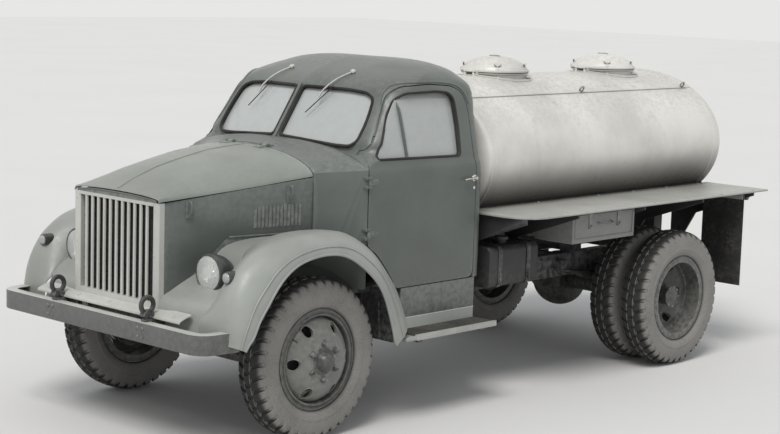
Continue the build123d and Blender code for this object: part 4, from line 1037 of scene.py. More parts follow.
for side, label in SIDES:
    body = f"door_{label}"
    seal = Form()
    ring = window_outline()
    seal.tube(on_side(ring, side, -0.004), 0.008, steps=8, closed=True)
    seal.tube(on_side(ring, side, -0.024), 0.007, steps=8, closed=True)
    hand_over(seal, f"door_{label}_seal", body, SEAL_RUBBER, "black_plastic")

    trim = Form()
    post = through([(-0.826, 0, 1.530), (-0.800, 0, 1.700), (-0.770, 0, 1.905)], 10)
    trim.tube(on_side(post, side, -0.020), 0.009, steps=8)
    card = [(-0.500, 1.06), (-0.500, 1.46), (-1.370, 1.46), (-1.370, 0.83), (-0.760, 0.83), (-0.600, 0.97)]
    trim.slab(upright(card, side * 0.741), (0, side * 0.012, 0), 0.002)
    for z in (1.120, 1.420):
        trim.tube([(-0.459, side * 0.803, z - 0.0155), (-0.459, side * 0.803, z + 0.0155)], 0.0115, steps=20)
        leaf = [(-0.470, z - 0.016), (-0.530, z - 0.016), (-0.545, z), (-0.530, z + 0.016),
                (-0.470, z + 0.016), (-0.462, z + 0.010), (-0.462, z - 0.010)]
        trim.slab(upright(leaf, side * 0.786), (0, side * 0.0075, 0), 0.001)
        for x in (-0.490, -0.520):
            trim.rivet((x, side * 0.7935, z), (0, side, 0), 0.0045)
    hand_over(trim, f"door_{label}_fittings", body, CAB_PAINT, "cab_paint", f"door_{label}")

    handle = Form()
    boss = (-1.385, side * 0.789, 1.389)
    rose = [(0.0, 0.021), (side * 0.004, 0.020), (side * 0.006, 0.013), (side * 0.018, 0.011),
            (side * 0.026, 0.010)]
    handle.lathe(rose + [(side * 0.027, 0.0)], boss, "Y", 20)
    lever = through([(-1.388, side * 0.812, 1.389), (-1.360, side * 0.815, 1.390),
                     (-1.310, side * 0.817, 1.390), (-1.274, side * 0.812, 1.386)], 12)
    handle.tube(lever, 0.0085, steps=10, flat=0.7)
    handle.lathe([(0.0, 0.010), (side * 0.004, 0.010), (side * 0.005, 0.0)],
                 (-1.385, side * 0.789, 1.330), "Y", 16)
    inside = (-1.100, side * 0.735, 1.220)
    handle.lathe([(0.0, 0.022), (-side * 0.008, 0.020), (-side * 0.012, 0.010), (-side * 0.020, 0.009)],
                 inside, "Y", 16)
    handle.tube([(-1.100, side * 0.713, 1.220), (-1.010, side * 0.708, 1.190)], 0.0075, steps=8)
    handle.tube([(-1.010, side * 0.713, 1.190), (-1.010, side * 0.685, 1.190)], 0.013, steps=12)
    handle.lathe([(0.0, 0.018), (-side * 0.010, 0.016), (-side * 0.014, 0.006)],
                 (-1.300, side * 0.735, 1.330), "Y", 16)
    handle.tube([(-1.300, side * 0.718, 1.330), (-1.190, side * 0.712, 1.322)], 0.0075, steps=8)
    hand_over(handle, f"door_{label}_handles", body, BRIGHT, "lamp_metal")

# %% Windscreen seals, wipers, drip rails and the rear window
def on_screen(y, z, proud=0.0):
    return (screen_x(y, z) + proud, y, z + proud * 0.55)


cab_seals = Form()
for side in (1, -1):
    pane = screen_outline(side)
    cab_seals.tube([on_screen(p.y, p.z, 0.001) for p in pane], 0.009, steps=8, closed=True)
    cab_seals.tube([on_screen(p.y, p.z, -0.020) for p in pane], 0.008, steps=8, closed=True)
rear_ring = rear_outline()
cab_seals.tube([(CAB_REAR + 0.001, p.y, p.z) for p in rear_ring], 0.010, steps=8, closed=True)
cab_seals.tube([(CAB_REAR + 0.024, p.y, p.z) for p in rear_ring], 0.009, steps=8, closed=True)
fix(cab_seals, "screen_seals", SEAL_RUBBER, "black_plastic")

cab_trim = Form()
for side in (1, -1):
    gutter = through([(-0.600, 0, 1.672), (-0.690, 0, 1.822), (-0.744, 0, 1.916),
                      (-0.832, 0, 1.966), (-1.050, 0, 1.976), (-1.250, 0, 1.962), (-1.336, 0, 1.920),
                      (-1.380, 0, 1.840)], 40)
    cab_trim.tube(on_side(gutter, side, 0.002), 0.0065, steps=8)
post = [on_screen(0, z, 0.004) for z in (1.612, 1.70, 1.80, 1.90, 1.938)]
cab_trim.tube(post, 0.011, steps=8, flat=0.6)
fix(cab_trim, "cab_trim", CAB_PAINT, "cab_paint")


def on_header(y, z, proud):
    """A place on the roof's front above the glass."""
    return Vector((ring_at(z)[0][0] - SCREEN_SWEEP * abs(y) + proud, y, z + proud * 0.5))


wipers = Form()
blades = Form()
for foot_y, tip_y in ((0.285, 0.215), (-0.245, -0.330)):
    arm = [on_header(foot_y, 2.012, 0.012), on_header(mix(foot_y, tip_y, 0.5), 1.965, 0.018),
           Vector(on_screen(tip_y, 1.900, 0.024)), Vector(on_screen(tip_y - 0.015, 1.850, 0.020))]
    wipers.lathe([(-0.010, 0.016), (0.006, 0.015), (0.012, 0.007), (0.013, 0.0)], tuple(arm[0]), "X", 16)
    wipers.tube(through(arm, 14), 0.0055, steps=8)
    blades.tube([Vector(on_screen(tip_y + 0.045, 1.925, 0.013)),
                 Vector(on_screen(tip_y - 0.065, 1.765, 0.013))], 0.0045, steps=8, flat=0.7)
fix(wipers, "wiper_arms", BRIGHT, "lamp_metal")
fix(blades, "wiper_blades", SEAL_RUBBER, "black_plastic")
for node in ("cab_glass", "door_glass_left", "door_glass_right"):
    dress_node(node, WINDOW_GLASS)
print("cab fittings done")

# %% [markdown]
# ## The cowl and the bonnet
# The bonnet top is one pressing that grows wider and higher towards the cab, and the cowl carries its lines
# on until they meet the door posts. Both are grids over the same cross-section: a crowned top, a tight
# crease and a short flange, with the width, crease and crown eased along the length. Sharing that section
# keeps the seam closed.

# %% Crowned sections along the nose
# columns: place, half width, crease height, crown height
NOSE_LINES = [
    (0.745, 0.375, 1.365, 1.378), (0.631, 0.395, 1.375, 1.432), (0.452, 0.428, 1.392, 1.493),
    (0.269, 0.464, 1.410, 1.533), (0.082, 0.501, 1.430, 1.568), (-0.100, 0.538, 1.452, 1.583),
    (-0.228, 0.566, 1.467, 1.589), (-0.330, 0.610, 1.478, 1.600), (-0.400, 0.672, 1.486, 1.612),
    (-0.440, 0.745, 1.490, 1.619), (-0.455, 0.779, 1.491, 1.622),
]


CROWN_STEPS = 20
CROWN_SPREAD = 2.3
CROWN_EASE = 0.72


def nose_at(x):
    for (x0, *far), (x1, *near) in zip(NOSE_LINES, NOSE_LINES[1:]):
        if x >= x1:
            return [mix(a, b, (x0 - x) / (x0 - x1)) for a, b in zip(far, near)]
    return NOSE_LINES[-1][1:]


def crowned(x, lower=0.0, flange=0.0):
    """One section from the left edge over the crown to the right edge."""
    half, crease, crown = nose_at(x)
    points = []
    if flange:
        points += [(x, half - lower, crease - flange - lower), (x, half - lower, crease - 0.012 - lower)]
    for step in range(2 * CROWN_STEPS + 1):
        y = 1 - step / CROWN_STEPS
        rise = (1 - abs(y) ** CROWN_SPREAD) ** CROWN_EASE
        points.append((x, (half - 0.006 - lower) * y, crease - lower + (crown - crease) * rise))
    if flange:
        points += [(x, -half + lower, crease - 0.012 - lower), (x, -half + lower, crease - flange - lower)]
    return points


def shell_grid(form, outer, inner):
    """A sheet with thickness: its outer skin, its inner skin and the edges that join them."""
    form.grid(outer)
    form.grid([list(reversed(row)) for row in inner])
    form.grid([outer[0], inner[0]])
    form.grid([inner[-1], outer[-1]])
    form.grid([[row[0] for row in inner], [row[0] for row in outer]])
    form.grid([[row[-1] for row in outer], [row[-1] for row in inner]])
    return form


def nose_stations(front, rear, count):
    return [mix(front, rear, step / count) for step in range(count + 1)]


# %% Bonnet top with its lip, rib and hinges
HOOD_FRONT = 0.745
HOOD_REAR = -0.228
HOOD_SHEET = 0.0035
bonnet = Form()
stations = nose_stations(HOOD_FRONT - 0.016, HOOD_REAR, 26)
outer = [crowned(x, 0.0, 0.019) for x in stations]
inner = [crowned(x, HOOD_SHEET, 0.0155) for x in stations]
lip_out = [[(HOOD_FRONT - back, y * (1 - shrink), z - drop)
            for x, y, z in crowned(HOOD_FRONT - 0.016, 0.0, 0.019)]
           for back, shrink, drop in ((0.002, 0.006, 0.008), (0.008, 0.002, 0.002))]
lip_in = [[(x - 0.0035, y * 0.99, z - 0.003) for x, y, z in row] for row in lip_out]
shell_grid(bonnet, lip_out + outer, lip_in + inner)
ridge = [(x, 0, nose_at(x)[2] + 0.001) for x in nose_stations(HOOD_FRONT - 0.02, HOOD_REAR + 0.012, 14)]
bonnet.tube(ridge, 0.0075, steps=8, flat=0.6)
hinge_pin = joint_place["hood_hinge"]
for y in (-0.150, 0.150):
    bonnet.tube([(hinge_pin.x, y - 0.030, hinge_pin.z), (hinge_pin.x, y + 0.030, hinge_pin.z)],
                0.0075, steps=12)
    leaf = crowned(HOOD_REAR + 0.03)[CROWN_STEPS][2] - 0.003
    bonnet.block((HOOD_REAR - 0.001, HOOD_REAR + 0.062), about(y, 0.028), about(leaf, 0.004), 0.0015)
    for along in (0.02, 0.046):
        for across in (-0.016, 0.016):
            bonnet.rivet((HOOD_REAR + along, y + across, leaf + 0.004), (0, 0, 1), 0.005)
# The bonnet top takes the lit copy of the cab paint as painted light; the bonnet sides keep the cab paint.
hand_over(bonnet, "bonnet_top", "hood", BONNET_PAINT_LIT, "cab_paint", "hood")

# %% Cowl skin with its vent
cowl = Form()
stations = [HOOD_REAR - 0.006, HOOD_REAR - 0.03, -0.29, -0.33, -0.365, -0.40, -0.42, -0.44, -0.45, CAB_FRONT]
outer = [crowned(x) for x in stations]
outer.append([(x - 0.008 - 0.105 * abs(y), y * 0.92, z) for x, y, z in outer[-1]])
inner = [[(x, y * 0.993, z - 0.006) for x, y, z in row] for row in outer]
shell_grid(cowl, outer, inner)


def cowl_side(x, side, sheet):
    """From the crease down to the wing, following the cowl's flare."""
    half, crease, _ = nose_at(x)
    points = []
    for step in range(13):
        down = step / 12
        z = mix(crease - 0.003, 1.02, down)
        points.append((x, side * (half - 0.001 - sheet + 0.010 * math.sin(math.pi * down)), z))
    return points


for side in (1, -1):
    shell_grid(cowl, *[[cowl_side(x, side, sheet) for x in stations] for sheet in (0.0, 0.006)])
vent_x = (-0.252, -0.420)
VENT_HALF = 0.150
flap = [[(x, VENT_HALF * (1 - step / 6), crowned(x)[CROWN_STEPS][2] + 0.0035 - 0.006 * (1 - step / 6) ** 2)
         for step in range(13)] for x in nose_stations(vent_x[0], vent_x[1], 6)]
shell_grid(cowl, flap, [[(x, y, z - 0.004) for x, y, z in row] for row in flap])
cowl.tube([(hinge_pin.x, -0.118, hinge_pin.z), (hinge_pin.x, -0.182, hinge_pin.z)], 0.0045, steps=10)
cowl.tube([(hinge_pin.x, 0.118, hinge_pin.z), (hinge_pin.x, 0.182, hinge_pin.z)], 0.0045, steps=10)
# The cowl takes a slightly lighter copy of the cab paint as painted light from above.
fix(cowl, "cowl_skin", COWL_PAINT_LIT, "cab_paint")
print("nose skins done")

# %% [markdown]
# ## The front wings
# The wing is a long tunnel over the wheel: it rises from an inner seam beside the bonnet, rolls over a
# crest and drops to a beaded lip. A bent plate can't do that in two directions at once, so the wing is a
# grid. Each row is one section, named by where its lip is, and its crest and seam are eased along the same
# share of the way round.

# %% Sections of the wing from nose to running board
# columns: lip (x, z), crest (x, z), seam (x, z), crest y, seam y, lip y
WING_ROWS = [
    ((0.640, 0.612), (0.712, 0.640), (0.716, 0.640), 0.880, 0.700, 0.985),
    ((0.622, 0.650), (0.704, 0.745), (0.712, 0.742), 0.868, 0.700, 0.995),
    ((0.593, 0.690), (0.684, 0.862), (0.650, 0.800), 0.862, 0.700, 1.000),
    ((0.560, 0.757), (0.640, 0.958), (0.590, 0.858), 0.858, 0.698, 1.000),
    ((0.511, 0.825), (0.575, 1.040), (0.520, 0.928), 0.855, 0.694, 1.000),
    ((0.399, 0.964), (0.455, 1.118), (0.430, 1.000), 0.852, 0.680, 1.000),
    ((0.276, 1.044), (0.310, 1.160), (0.350, 1.075), 0.850, 0.640, 1.000),
    ((0.112, 1.077), (0.130, 1.184), (0.180, 1.118), 0.850, 0.590, 1.000),
    ((-0.043, 1.068), (-0.040, 1.186), (-0.010, 1.122), 0.852, 0.560, 1.000),
    ((-0.170, 1.016), (-0.200, 1.160), (-0.160, 1.118), 0.854, 0.560, 1.000),
    ((-0.311, 0.911), (-0.372, 1.062), (-0.372, 1.062), 0.860, 0.770, 1.000),
    ((-0.397, 0.804), (-0.488, 0.946), (-0.505, 0.985), 0.866, 0.796, 1.000),
    ((-0.462, 0.651), (-0.588, 0.820), (-0.622, 0.850), 0.872, 0.797, 1.000),
    ((-0.505, 0.517), (-0.652, 0.690), (-0.700, 0.700), 0.878, 0.797, 1.000),
    ((-0.520, 0.500), (-0.690, 0.592), (-0.745, 0.592), 0.880, 0.797, 1.000),
]
WING_SHEET = 0.004


def wing_track(column, count):
    """A smooth run of (x, y, z) through one column of the table, evenly spaced by row."""
    points = []
    for row in WING_ROWS:
        place = row[column]
        across = {0: row[5], 1: row[3], 2: row[4]}[column]
        points.append(Vector((place[0], across, place[1])))
    made = []
    ends_added = padded(points)
    for index in range(count):
        place = (len(points) - 1) * index / (count - 1)
        start = min(int(place), len(points) - 2)
        made.append(spline(ends_added[start:start + 4], place - start))
    return made


WING_COUNT = 57


def wing_section(lip, crest, seam):
    """Seam up to the crest, then over and down to the rolled lip."""
    points = []
    for step in range(8):
        t = step / 8
        rise = math.sin(t * math.pi / 2)
        along = 1 - math.cos(t * math.pi / 2)
        blend_t = mix(t, along, 0.55)
        points.append(Vector((mix(seam.x, crest.x, t), mix(seam.y, crest.y, blend_t * 0.75 + t * 0.25),
                              mix(seam.z, crest.z, rise))))
    for step in range(13):
        t = step / 12
        out = math.sin(t * math.pi / 2)
        down = 1 - math.cos(t * math.pi / 2)
        place = (mix(crest.x, lip.x, down ** 0.9), mix(crest.y, lip.y, out), mix(crest.z, lip.z, down))
        points.append(Vector(place))
    return points


def wing_skin(side):
    lips, crests, seams = (wing_track(column, WING_COUNT) for column in (0, 1, 2))
    rows = [wing_section(*row) for row in zip(lips, crests, seams)]
    arch = Vector((0.04, 0.5, 0.55))
    inner = []
    for row in rows:
        hidden = []
        for point in row:
            toward = arch - point
            toward.y *= 0.35
            hidden.append(point + toward.normalized() * WING_SHEET)
        inner.append(hidden)
    wing = Form()
    shell_grid(wing, rows, inner)
    bead = [row[-1] + Vector((0, -0.004, 0)) for row in rows]
    wing.tube(bead, 0.0085, steps=8)
    swage = [row[-4] + (row[-4] - arch).normalized() * 0.001 for row in rows]
    wing.tube(swage, 0.0055, steps=8)
    wing.tube([row[0] for row in rows[:-8]], 0.005, steps=6)
    return wing if side > 0 else wing.mirror()


for side, label in SIDES:
    fix(wing_skin(side), f"wing_{label}", WING_PAINT, "wing_paint", "front_wings", degrees=50)

# %% [markdown]
# ## The valley between wing and bonnet
# Between the bonnet side and the wing lies a sunk apron that holds the headlamp. It is a folded plate, so
# it is drawn as a few wide strips: up from the bumper, back under the lamp, and along the bonnet side to
# the cowl.

# %% Aprons
def apron(side):
    plate = Form()
    bottom_front = [(0.736, 0.352, 0.655), (0.736, 0.45, 0.655), (0.733, 0.58, 0.655), (0.716, 0.700, 0.640)]
    top_front = [(0.735, 0.352, 0.80), (0.722, 0.45, 0.80), (0.700, 0.58, 0.80), (0.655, 0.700, 0.796)]
    under_lamp = [(0.640, 0.380, 0.868), (0.625, 0.46, 0.868), (0.610, 0.58, 0.868), (0.585, 0.699, 0.862)]
    behind_lamp = [(0.430, 0.430, 0.985), (0.430, 0.50, 0.985), (0.430, 0.60, 0.990), (0.432, 0.682, 0.998)]
    valley = [(0.330, 0.452, 1.080), (0.330, 0.51, 1.080), (0.335, 0.58, 1.078), (0.350, 0.645, 1.074)]
    shoulder = [(0.130, 0.492, 1.118), (0.130, 0.53, 1.118), (0.140, 0.56, 1.118), (0.180, 0.592, 1.118)]
    rear = [(-0.228, 0.566, 1.118), (-0.228, 0.566, 1.119), (-0.20, 0.565, 1.120), (-0.16, 0.562, 1.118)]
    stations = [bottom_front, top_front, under_lamp, behind_lamp, valley, shoulder, rear]
    columns = [through([row[i] for row in stations], 40) for i in range(4)]
    rows = []
    for index in range(40):
        rows.append(through([column[index] for column in columns], 12))
    inner = [[point + Vector((-0.003, 0, -0.003)) for point in row] for row in rows]
    shell_grid(plate, rows, inner)
    return plate if side > 0 else plate.mirror()


for side, label in SIDES:
    fix(apron(side), f"apron_{label}", WING_PAINT, "wing_paint")

# %% [markdown]
# A flat plate behind each front wheel keeps mud off the step. It stands just inside the wing's tail, clear
# of the tyre at full lock, and has three pressed ribs. It is near black as painted shade under the wing.

# %% Splash plates
splash = Form()
for side in (1, -1):
    sheets = []
    for back in (0.0, 0.004):
        sheets.append([[(-0.557 - 0.05 * (0.80 - z) - back, side * y, z) for y in (0.434, 0.60, 0.76, 0.915)]
                       for z in (0.80, 0.70, 0.60, 0.49)])
    shell_grid(splash, *sheets)
    for y in (0.52, 0.66, 0.80):
        splash.tube([(-0.5575, side * y, 0.785), (-0.5720, side * y, 0.505)], 0.007, steps=8)
# Near black as painted shade for the shadow under the wing's tail.
fix(splash, "shaded_splash_plates", CHASSIS_BLACK, "wing_paint")
print("wings done")

# %% [markdown]
# ## Grille, lamps and bumper
# The grille is light vertical bars in front of a near-black backing, which is painted shade for the grille's
# deep inside, and most of its look is that contrast.
# Lamps are turned shapes: a bowl, a bright rim, a reflector and a domed glass. The bumper keeps its folded
# solid; it needs only eased edges and bolts.

# %% Grille
NOSE_X = 0.745
GRILLE_LOW = 0.756
GRILLE_TOP = 1.340
BAR_PLACES = [(index - 5) * 0.054 for index in range(11)]
grille = Form()
for y in BAR_PLACES:
    bar = [(NOSE_X - 0.014, y - 0.009), (NOSE_X - 0.007, y - 0.009), (NOSE_X - 0.003, y - 0.006),
           (NOSE_X - 0.0015, y), (NOSE_X - 0.003, y + 0.006), (NOSE_X - 0.007, y + 0.009),
           (NOSE_X - 0.014, y + 0.009)]
    grille.slab([(x, at, GRILLE_LOW + 0.030) for x, at in bar], (0, 0, GRILLE_TOP - GRILLE_LOW - 0.040))
for side in (1, -1):
    post = [(NOSE_X - 0.045, side * 0.375), (NOSE_X - 0.010, side * 0.3755), (NOSE_X - 0.002, side * 0.368),
            (NOSE_X, side * 0.358), (NOSE_X - 0.001, side * 0.334), (NOSE_X - 0.008, side * 0.324),
            (NOSE_X - 0.045, side * 0.323)]
    grille.slab([(x, y, GRILLE_LOW) for x, y in post], (0, 0, GRILLE_TOP - GRILLE_LOW), 0.002)
grille.block((NOSE_X - 0.045, NOSE_X - 0.001), (-0.330, 0.330), (GRILLE_LOW, GRILLE_LOW + 0.036), 0.006)
grille.block((NOSE_X - 0.045, NOSE_X - 0.001), (-0.330, 0.330), (GRILLE_TOP - 0.018, GRILLE_TOP), 0.004)
for side in (1, -1):
    grille.block((0.7005, 0.7120), about(side * 0.320, 0.02), (0.651, GRILLE_LOW + 0.002), 0.002)
    for z in (0.80, 1.05, 1.30):
        grille.rivet((NOSE_X - 0.0005, side * 0.346, z), (1, 0, 0), 0.006)
fix(grille, "grille_bars", GRILLE_LIGHT, "grille_paint", "grille")
valance = Form()
lip = [(0.724, 0.770), (0.733, 0.764), (0.760, 0.757), (0.790, 0.746), (0.805, 0.738), (0.808, 0.730)]
top = [[(x, y, z) for x, z in lip] for y in nose_stations(-0.640, 0.640, 24)]
under = [[(x - 0.001, y, z - 0.005) for x, y, z in row] for row in top]
shell_grid(valance, top, under)
for y in (-0.56, -0.28, 0.0, 0.28, 0.56):
    valance.nut((0.780, y, 0.7505), (0.3, 0, 1), 0.009, 0.006)
fix(valance, "valance", GRILLE_LIGHT, "grille_paint")
header = Form()
edge = [(y, z) for _, y, z in crowned(NOSE_X - 0.016) if abs(y) < 0.371]
front_row = [(NOSE_X - 0.006, y, z - 0.017) for y, z in edge]
foot_row = [(NOSE_X - 0.004, y, GRILLE_TOP - 0.003) for y, z in edge]
back_row = [(x - 0.006, y, z) for x, y, z in front_row]
heel_row = [(x - 0.006, y, z) for x, y, z in foot_row]
shell_grid(header, [foot_row, front_row], [heel_row, back_row])
header.tube([(NOSE_X - 0.003, y, z - 0.019) for y, z in edge], 0.004, steps=8)
fix(header, "grille_header", CAB_PAINT, "cab_paint")
# Near-black webs behind the bars and a plate behind them: painted shade for the grille's depth.
shade_backing = Form()
for y in BAR_PLACES:
    shade_backing.block((NOSE_X - 0.028, NOSE_X - 0.012), about(y, 0.0035),
                  (GRILLE_LOW + 0.030, GRILLE_TOP - 0.010), 0)
shade_backing.block((NOSE_X - 0.046, NOSE_X - 0.040), (-0.328, 0.328), (GRILLE_LOW + 0.03, GRILLE_TOP - 0.012), 0)
for index in range(9):
    z = GRILLE_LOW + 0.08 + index * 0.06
    shade_backing.tube([(NOSE_X - 0.036, -0.326, z), (NOSE_X - 0.036, 0.326, z)], 0.003, steps=6)
fix(shade_backing, "grille_mesh_and_shade", GRILLE_SHADE, "black_plastic")

# %% Headlamps and marker lamps
LAMP = Vector((0.555, 0.587, 0.972))
LAMP_SIZE = 1.07
FLUTE_PITCH = 0.0145
FLUTED_RADIUS = 0.084


def lamp_parts(side):
    centre = (LAMP.x, side * LAMP.y, LAMP.z)
    bowl = Form()
    shell = [(-0.150, 0.0), (-0.150, 0.030), (-0.143, 0.042), (-0.120, 0.060), (-0.090, 0.078),
             (-0.055, 0.090), (-0.020, 0.0945), (-0.004, 0.0955), (-0.002, 0.090), (-0.010, 0.088)]
    bowl.lathe(shell, centre, "X", 48)
    bowl.slab([(0.500, side * 0.563, 0.878), (0.550, side * 0.563, 0.878), (0.545, side * 0.566, 0.915),
               (0.505, side * 0.566, 0.915)], (0, side * 0.048, 0), 0.003)
    bowl.tube([(0.525, side * 0.587, 0.876), (0.525, side * 0.587, 0.900)], 0.040, steps=20)
    rim = Form()
    rim.lathe([(-0.006, 0.0950), (-0.004, 0.0985), (0.006, 0.0995), (0.013, 0.0965), (0.016, 0.0905),
               (0.013, 0.0870), (0.004, 0.0880)], centre, "X", 48, closed=True)
    rim.tube([(LAMP.x + 0.004, side * LAMP.y, LAMP.z - 0.0985),
              (LAMP.x + 0.004, side * LAMP.y, LAMP.z - 0.1085)], 0.006, 8)
    dish = Form()
    dish.lathe([(0.010, 0.0880), (-0.015, 0.080), (-0.035, 0.066), (-0.052, 0.042), (-0.058, 0.018),
                (-0.058, 0.0)], centre, "X", 40)
    dish.lathe([(-0.056, 0.010), (-0.040, 0.010), (-0.034, 0.014), (-0.020, 0.014), (-0.012, 0.008),
                (-0.010, 0.0)], centre, "X", 16)
    lens = Form()
    lens.lathe([(0.012, 0.0900), (0.018, 0.080), (0.023, 0.060), (0.026, 0.035), (0.0275, 0.012),
                (0.0277, 0.0)], centre, "X", 40)
    for index in range(-5, 6):
        y = index * FLUTE_PITCH
        reach = math.sqrt(FLUTED_RADIUS ** 2 - y * y)
        line = []
        for step in range(9):
            z = mix(-reach, reach, step / 8)
            away = math.hypot(y, z)
            line.append((centre[0] + 0.0275 - 0.0135 * (away / 0.09) ** 2, centre[1] + y, centre[2] + z))
        lens.tube(line, 0.0016, steps=5)
    grown = Matrix.Diagonal((1.0, LAMP_SIZE, LAMP_SIZE))
    for form in (bowl, rim, dish, lens):
        bmesh.ops.translate(form.mesh, vec=-Vector(centre), verts=form.mesh.verts[:])
        bmesh.ops.transform(form.mesh, matrix=grown.to_4x4(), verts=form.mesh.verts[:])
        bmesh.ops.translate(form.mesh, vec=Vector(centre), verts=form.mesh.verts[:])
    return bowl, rim, dish, lens


for side, label in SIDES:
    bowl, rim, dish, lens = lamp_parts(side)
    fix(bowl, f"headlamp_{label}_bowl", LAMP_PAINT_AND_SHADE, "lamp_metal", "headlamps")
    fix(rim, f"headlamp_{label}_rim", LAMP_PAINT_AND_SHADE, "lamp_metal")
    fix(dish, f"headlamp_{label}_dish", REFLECTOR, "lamp_metal")
    fix(lens, f"headlamp_{label}_glass", LAMP_GLASS, "glass")
    marker = Form()
    spot = (0.642, side * 0.822, 0.985)
    marker.lathe([(-0.082, 0.0), (-0.082, 0.028), (-0.060, 0.034), (-0.012, 0.035), (-0.006, 0.033),
                  (-0.004, 0.026)], spot, "X", 28)
    marker.lathe([(-0.010, 0.0315), (-0.004, 0.0335), (0.001, 0.0320), (0.002, 0.0280)], spot, "X", 28)
    fix(marker, f"marker_{label}_body", LAMP_PAINT_AND_SHADE, "lamp_metal", "headlamps")
    cover = Form()
    cover.lathe([(-0.004, 0.030), (0.006, 0.026), (0.012, 0.016), (0.0145, 0.006), (0.015, 0.0)],
                spot, "X", 24)
    for turn in turns(8):
        cover.tube([(spot[0] + 0.0045, spot[1] + 0.026 * math.cos(turn), spot[2] + 0.026 * math.sin(turn)),
                    (spot[0] + 0.0130, spot[1] + 0.012 * math.cos(turn), spot[2] + 0.012 * math.sin(turn))],
                   0.0014, 5)
    fix(cover, f"marker_{label}_glass", LAMP_GLASS, "glass")

# %% Bumper, tow hooks and bonnet sides
bumper = eased("bumper_beam", "front_bumper", 0.009)
finish_piece(bumper, "chassis", BUMPER_PAINT, "bumper_paint", "front_bumper")
# Faces that look up take the light grey as a painted highlight on the bumper's top flange.
second_finish(bumper, GRILLE_LIGHT, lambda face: face.normal.z > 0.6)
HOOK_Y = 0.4025
HOOK_REACH = 0.042
bolts = Form()
for side, label in SIDES:
    for y in (0.385, 0.425):
        for z in (0.630, 0.680):
            bolts.rivet((0.888, side * y, z), (1, 0, 0), 0.012)
    ring = [(0.836 + HOOK_REACH * math.cos(a), side * HOOK_Y, 0.800 + HOOK_REACH * math.sin(a))
            for a in turns(24)]
    hooks = Form()
    hooks.tube(ring, 0.0135, steps=12, closed=True)
    hooks.slab([(0.800, side * HOOK_Y - 0.026, 0.740), (0.872, side * HOOK_Y - 0.026, 0.740),
                (0.860, side * HOOK_Y - 0.020, 0.772), (0.812, side * HOOK_Y - 0.020, 0.772)],
               (0, 0.046, 0), 0.004)
    fix(hooks, f"tow_hook_{label}", CHASSIS_BLACK, "chassis_black")
fix(bolts, "bumper_bolts", BUMPER_PAINT, "bumper_paint")
finish_piece(eased("bonnet_sides", "hood_sides", 0.004), "chassis", CAB_PAINT, "cab_paint", "hood_sides")
SKIRT = [(-0.225, 1.132, 1.108), (0.130, 1.132, 1.106), (0.310, 1.132, 1.070), (0.450, 1.006, 0.955),
         (0.560, 0.904, 0.880)]
LOUVRE_LEAN = 0.0052
louvres = Form()
for side in (1, -1):
    for index in range(13):
        x = 0.150 - index * 0.024
        half = nose_at(x)[0] + 0.001
        proud = side * (half + LOUVRE_LEAN)
        outline = [(x, side * half, 1.170), (x, side * half, 1.300), (x - 0.014, proud, 1.294),
                   (x - 0.014, proud, 1.176)]
        louvres.slab(outline, (-0.0015, side * 0.0035, 0), 0.0006)
    for x, z in ((-0.079, 1.355), (0.560, 1.300)):
        half = nose_at(x)[0] + 0.002
        louvres.block(about(x, 0.018), about(side * half, 0.006), about(z, 0.045), 0.003)
        clip = [(0.008, -0.035), (0.026, -0.010), (0.024, 0.030), (0.012, 0.046)]
        louvres.tube(through([(x, side * (half + out), z + up) for out, up in clip], 9), 0.006, 8)
    sheets = []
    for deep in (0.003, 0.007):
        sheets.append([[(x, side * (nose_at(x)[0] - deep), z) for z in (high, low)]
                       for x, high, low in SKIRT])
    shell_grid(louvres, *sheets)
    rail = [(x, side * (nose_at(x)[0] + 0.002), 1.130) for x in nose_stations(0.310, -0.225, 6)]
    louvres.tube(rail, 0.0055, steps=8)
fix(louvres, "bonnet_louvres", CAB_PAINT, "cab_paint")
print("front done")

# %% [markdown]
# ## Rims and hubs
# A lorry's rim is two pressings: a flat-based barrel with a loose lock ring, and a dished disc with hand
# holes. Both are turned shapes. The holes are cut with short cylinders, then ringed with a bead, because a
# pressed hole has a turned-in edge that catches the light.

# %% Rim, disc and studs
STUDS = 6
STUD_RADIUS = 0.1025
HAND_HOLES = 6
HOLE_RADIUS = 0.200
HOLE_SIZE = 0.033
DISC_FACE = 0.130
KINGPIN_Y = 0.690
BARREL = [(-0.082, 0.246), (-0.082, 0.281), (-0.0805, 0.285), (-0.076, 0.286), (-0.0735, 0.282),
          (-0.0735, 0.258), (-0.050, 0.2555), (0.050, 0.2555), (0.0735, 0.2575), (0.0735, 0.282),
          (0.076, 0.286), (0.0805, 0.2855), (0.082, 0.281), (0.0825, 0.262), (0.079, 0.248),
          (0.050, 0.2465), (-0.050, 0.2460)]
LOCK_RING = [(0.0825, 0.262), (0.086, 0.2605), (0.087, 0.256), (0.085, 0.251), (0.080, 0.2485)]
DISC = [(0.028, 0.2455), (0.044, 0.2455), (0.056, 0.241), (0.070, 0.231), (0.094, 0.211), (0.110, 0.190),
        (0.121, 0.174), (0.1280, 0.162), (0.130, 0.150), (0.130, 0.071), (0.118, 0.071), (0.118, 0.148),
        (0.114, 0.158), (0.100, 0.174), (0.084, 0.197), (0.060, 0.221), (0.046, 0.231), (0.028, 0.234)]


def barrel_form(x, y, way):
    barrel = Form()
    barrel.lathe([(way * u, r) for u, r in BARREL], (x, y, WHEEL_Z), "Y", 72, closed=True)
    barrel.lathe([(way * u, r) for u, r in LOCK_RING], (x, y, WHEEL_Z), "Y", 72)
    return barrel


